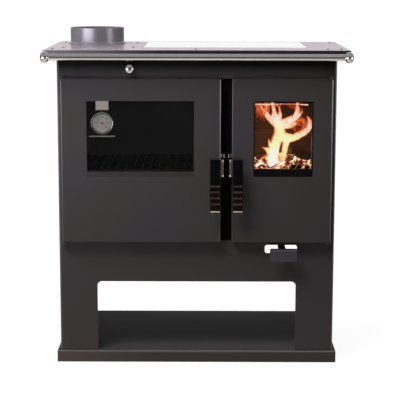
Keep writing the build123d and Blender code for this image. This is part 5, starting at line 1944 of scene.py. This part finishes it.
def photo_camera(studio):
    """Camera at the photograph's place, which looks a little down."""
    lens = bpy.data.cameras.new("photo_camera")
    lens.lens = studio.focal_length
    lens.sensor_width = SENSOR_WIDTH
    lens.sensor_fit = "HORIZONTAL"
    lens.clip_end = 200.0
    camera = bpy.data.objects.new("photo_camera", lens)
    camera.matrix_world = (
        Matrix.Translation(studio.camera_place)
        @ Matrix.Rotation(studio.camera_yaw, 4, "Z")
        @ Matrix.Rotation(math.pi / 2 - studio.camera_pitch, 4, "X")
        @ Matrix.Rotation(studio.camera_roll, 4, "Z")
    )
    bpy.context.scene.collection.objects.link(camera)
    bpy.context.scene.camera = camera


class COOKSTOVE_OT_stage(bpy.types.Operator):
    """Floor, light, camera and view settings"""

    bl_idname = "cookstove.stage"
    bl_label = "Studio"

    def execute(self, context):
        studio = settings("studio")
        reach = np.linspace(-FLOOR_REACH, FLOOR_REACH, FLOOR_POINTS)
        x, y = np.meshgrid(reach, reach, indexing="ij")
        mesh = surface_mesh("studio_floor", [np.stack([x, y, np.zeros_like(x)], -1)])
        floor = bpy.data.objects.new("studio_floor", mesh)
        mesh.materials.append(floor_finish(studio.floor_white))
        bpy.context.scene.collection.objects.link(floor)
        studio_world(studio.room_level)
        studio_lamps(studio)
        photo_camera(studio)
        bpy.context.scene.view_settings.view_transform = "Standard"
        return {"FINISHED"}


class COOKSTOVE_PT_looks(bpy.types.Panel):
    """Sidebar list of the stove's steps and settings"""

    bl_label = "Cookstove"
    bl_idname = "COOKSTOVE_PT_looks"
    bl_space_type = "VIEW_3D"
    bl_region_type = "UI"
    bl_category = "Cookstove"

    def draw(self, context):
        layout = self.layout
        for operator in OPERATORS:
            layout.operator(operator.bl_idname)
        for name, group in GROUPS:
            box = layout.box()
            box.label(text=group.bl_rna.name)
            for key in group.__annotations__:
                box.prop(settings(name), key)


OPERATORS = (
    COOKSTOVE_OT_stage,
    COOKSTOVE_OT_carcass,
    COOKSTOVE_OT_hob,
    COOKSTOVE_OT_metalwork,
    COOKSTOVE_OT_inside,
    COOKSTOVE_OT_turned_fittings,
    COOKSTOVE_OT_screw_heads,
    COOKSTOVE_OT_rope_seals,
    COOKSTOVE_OT_thermometer,
    COOKSTOVE_OT_logs,
    COOKSTOVE_OT_embers,
    COOKSTOVE_OT_flames,
)
GROUPS = (
    ("finishes", CookstoveFinishes),
    ("fittings", CookstoveFittings),
    ("fire", CookstoveFire),
    ("studio", CookstoveStudio),
)


def register():
    """Adds the settings, the operators and the panel."""
    for name, group in GROUPS:
        bpy.utils.register_class(group)
        setattr(bpy.types.Scene, f"cookstove_{name}", PointerProperty(type=group))
    for operator in OPERATORS:
        bpy.utils.register_class(operator)
    bpy.utils.register_class(COOKSTOVE_PT_looks)


def unregister():
    """Takes them away again."""
    bpy.utils.unregister_class(COOKSTOVE_PT_looks)
    for operator in reversed(OPERATORS):
        bpy.utils.unregister_class(operator)
    for name, group in reversed(GROUPS):
        delattr(bpy.types.Scene, f"cookstove_{name}")
        bpy.utils.unregister_class(group)


def build():
    """Makes the whole scene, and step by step."""
    register()
    for operator in OPERATORS:
        group, name = operator.bl_idname.split(".")
        getattr(getattr(bpy.ops, group), name)()


if __name__ == "__main__":
    build()
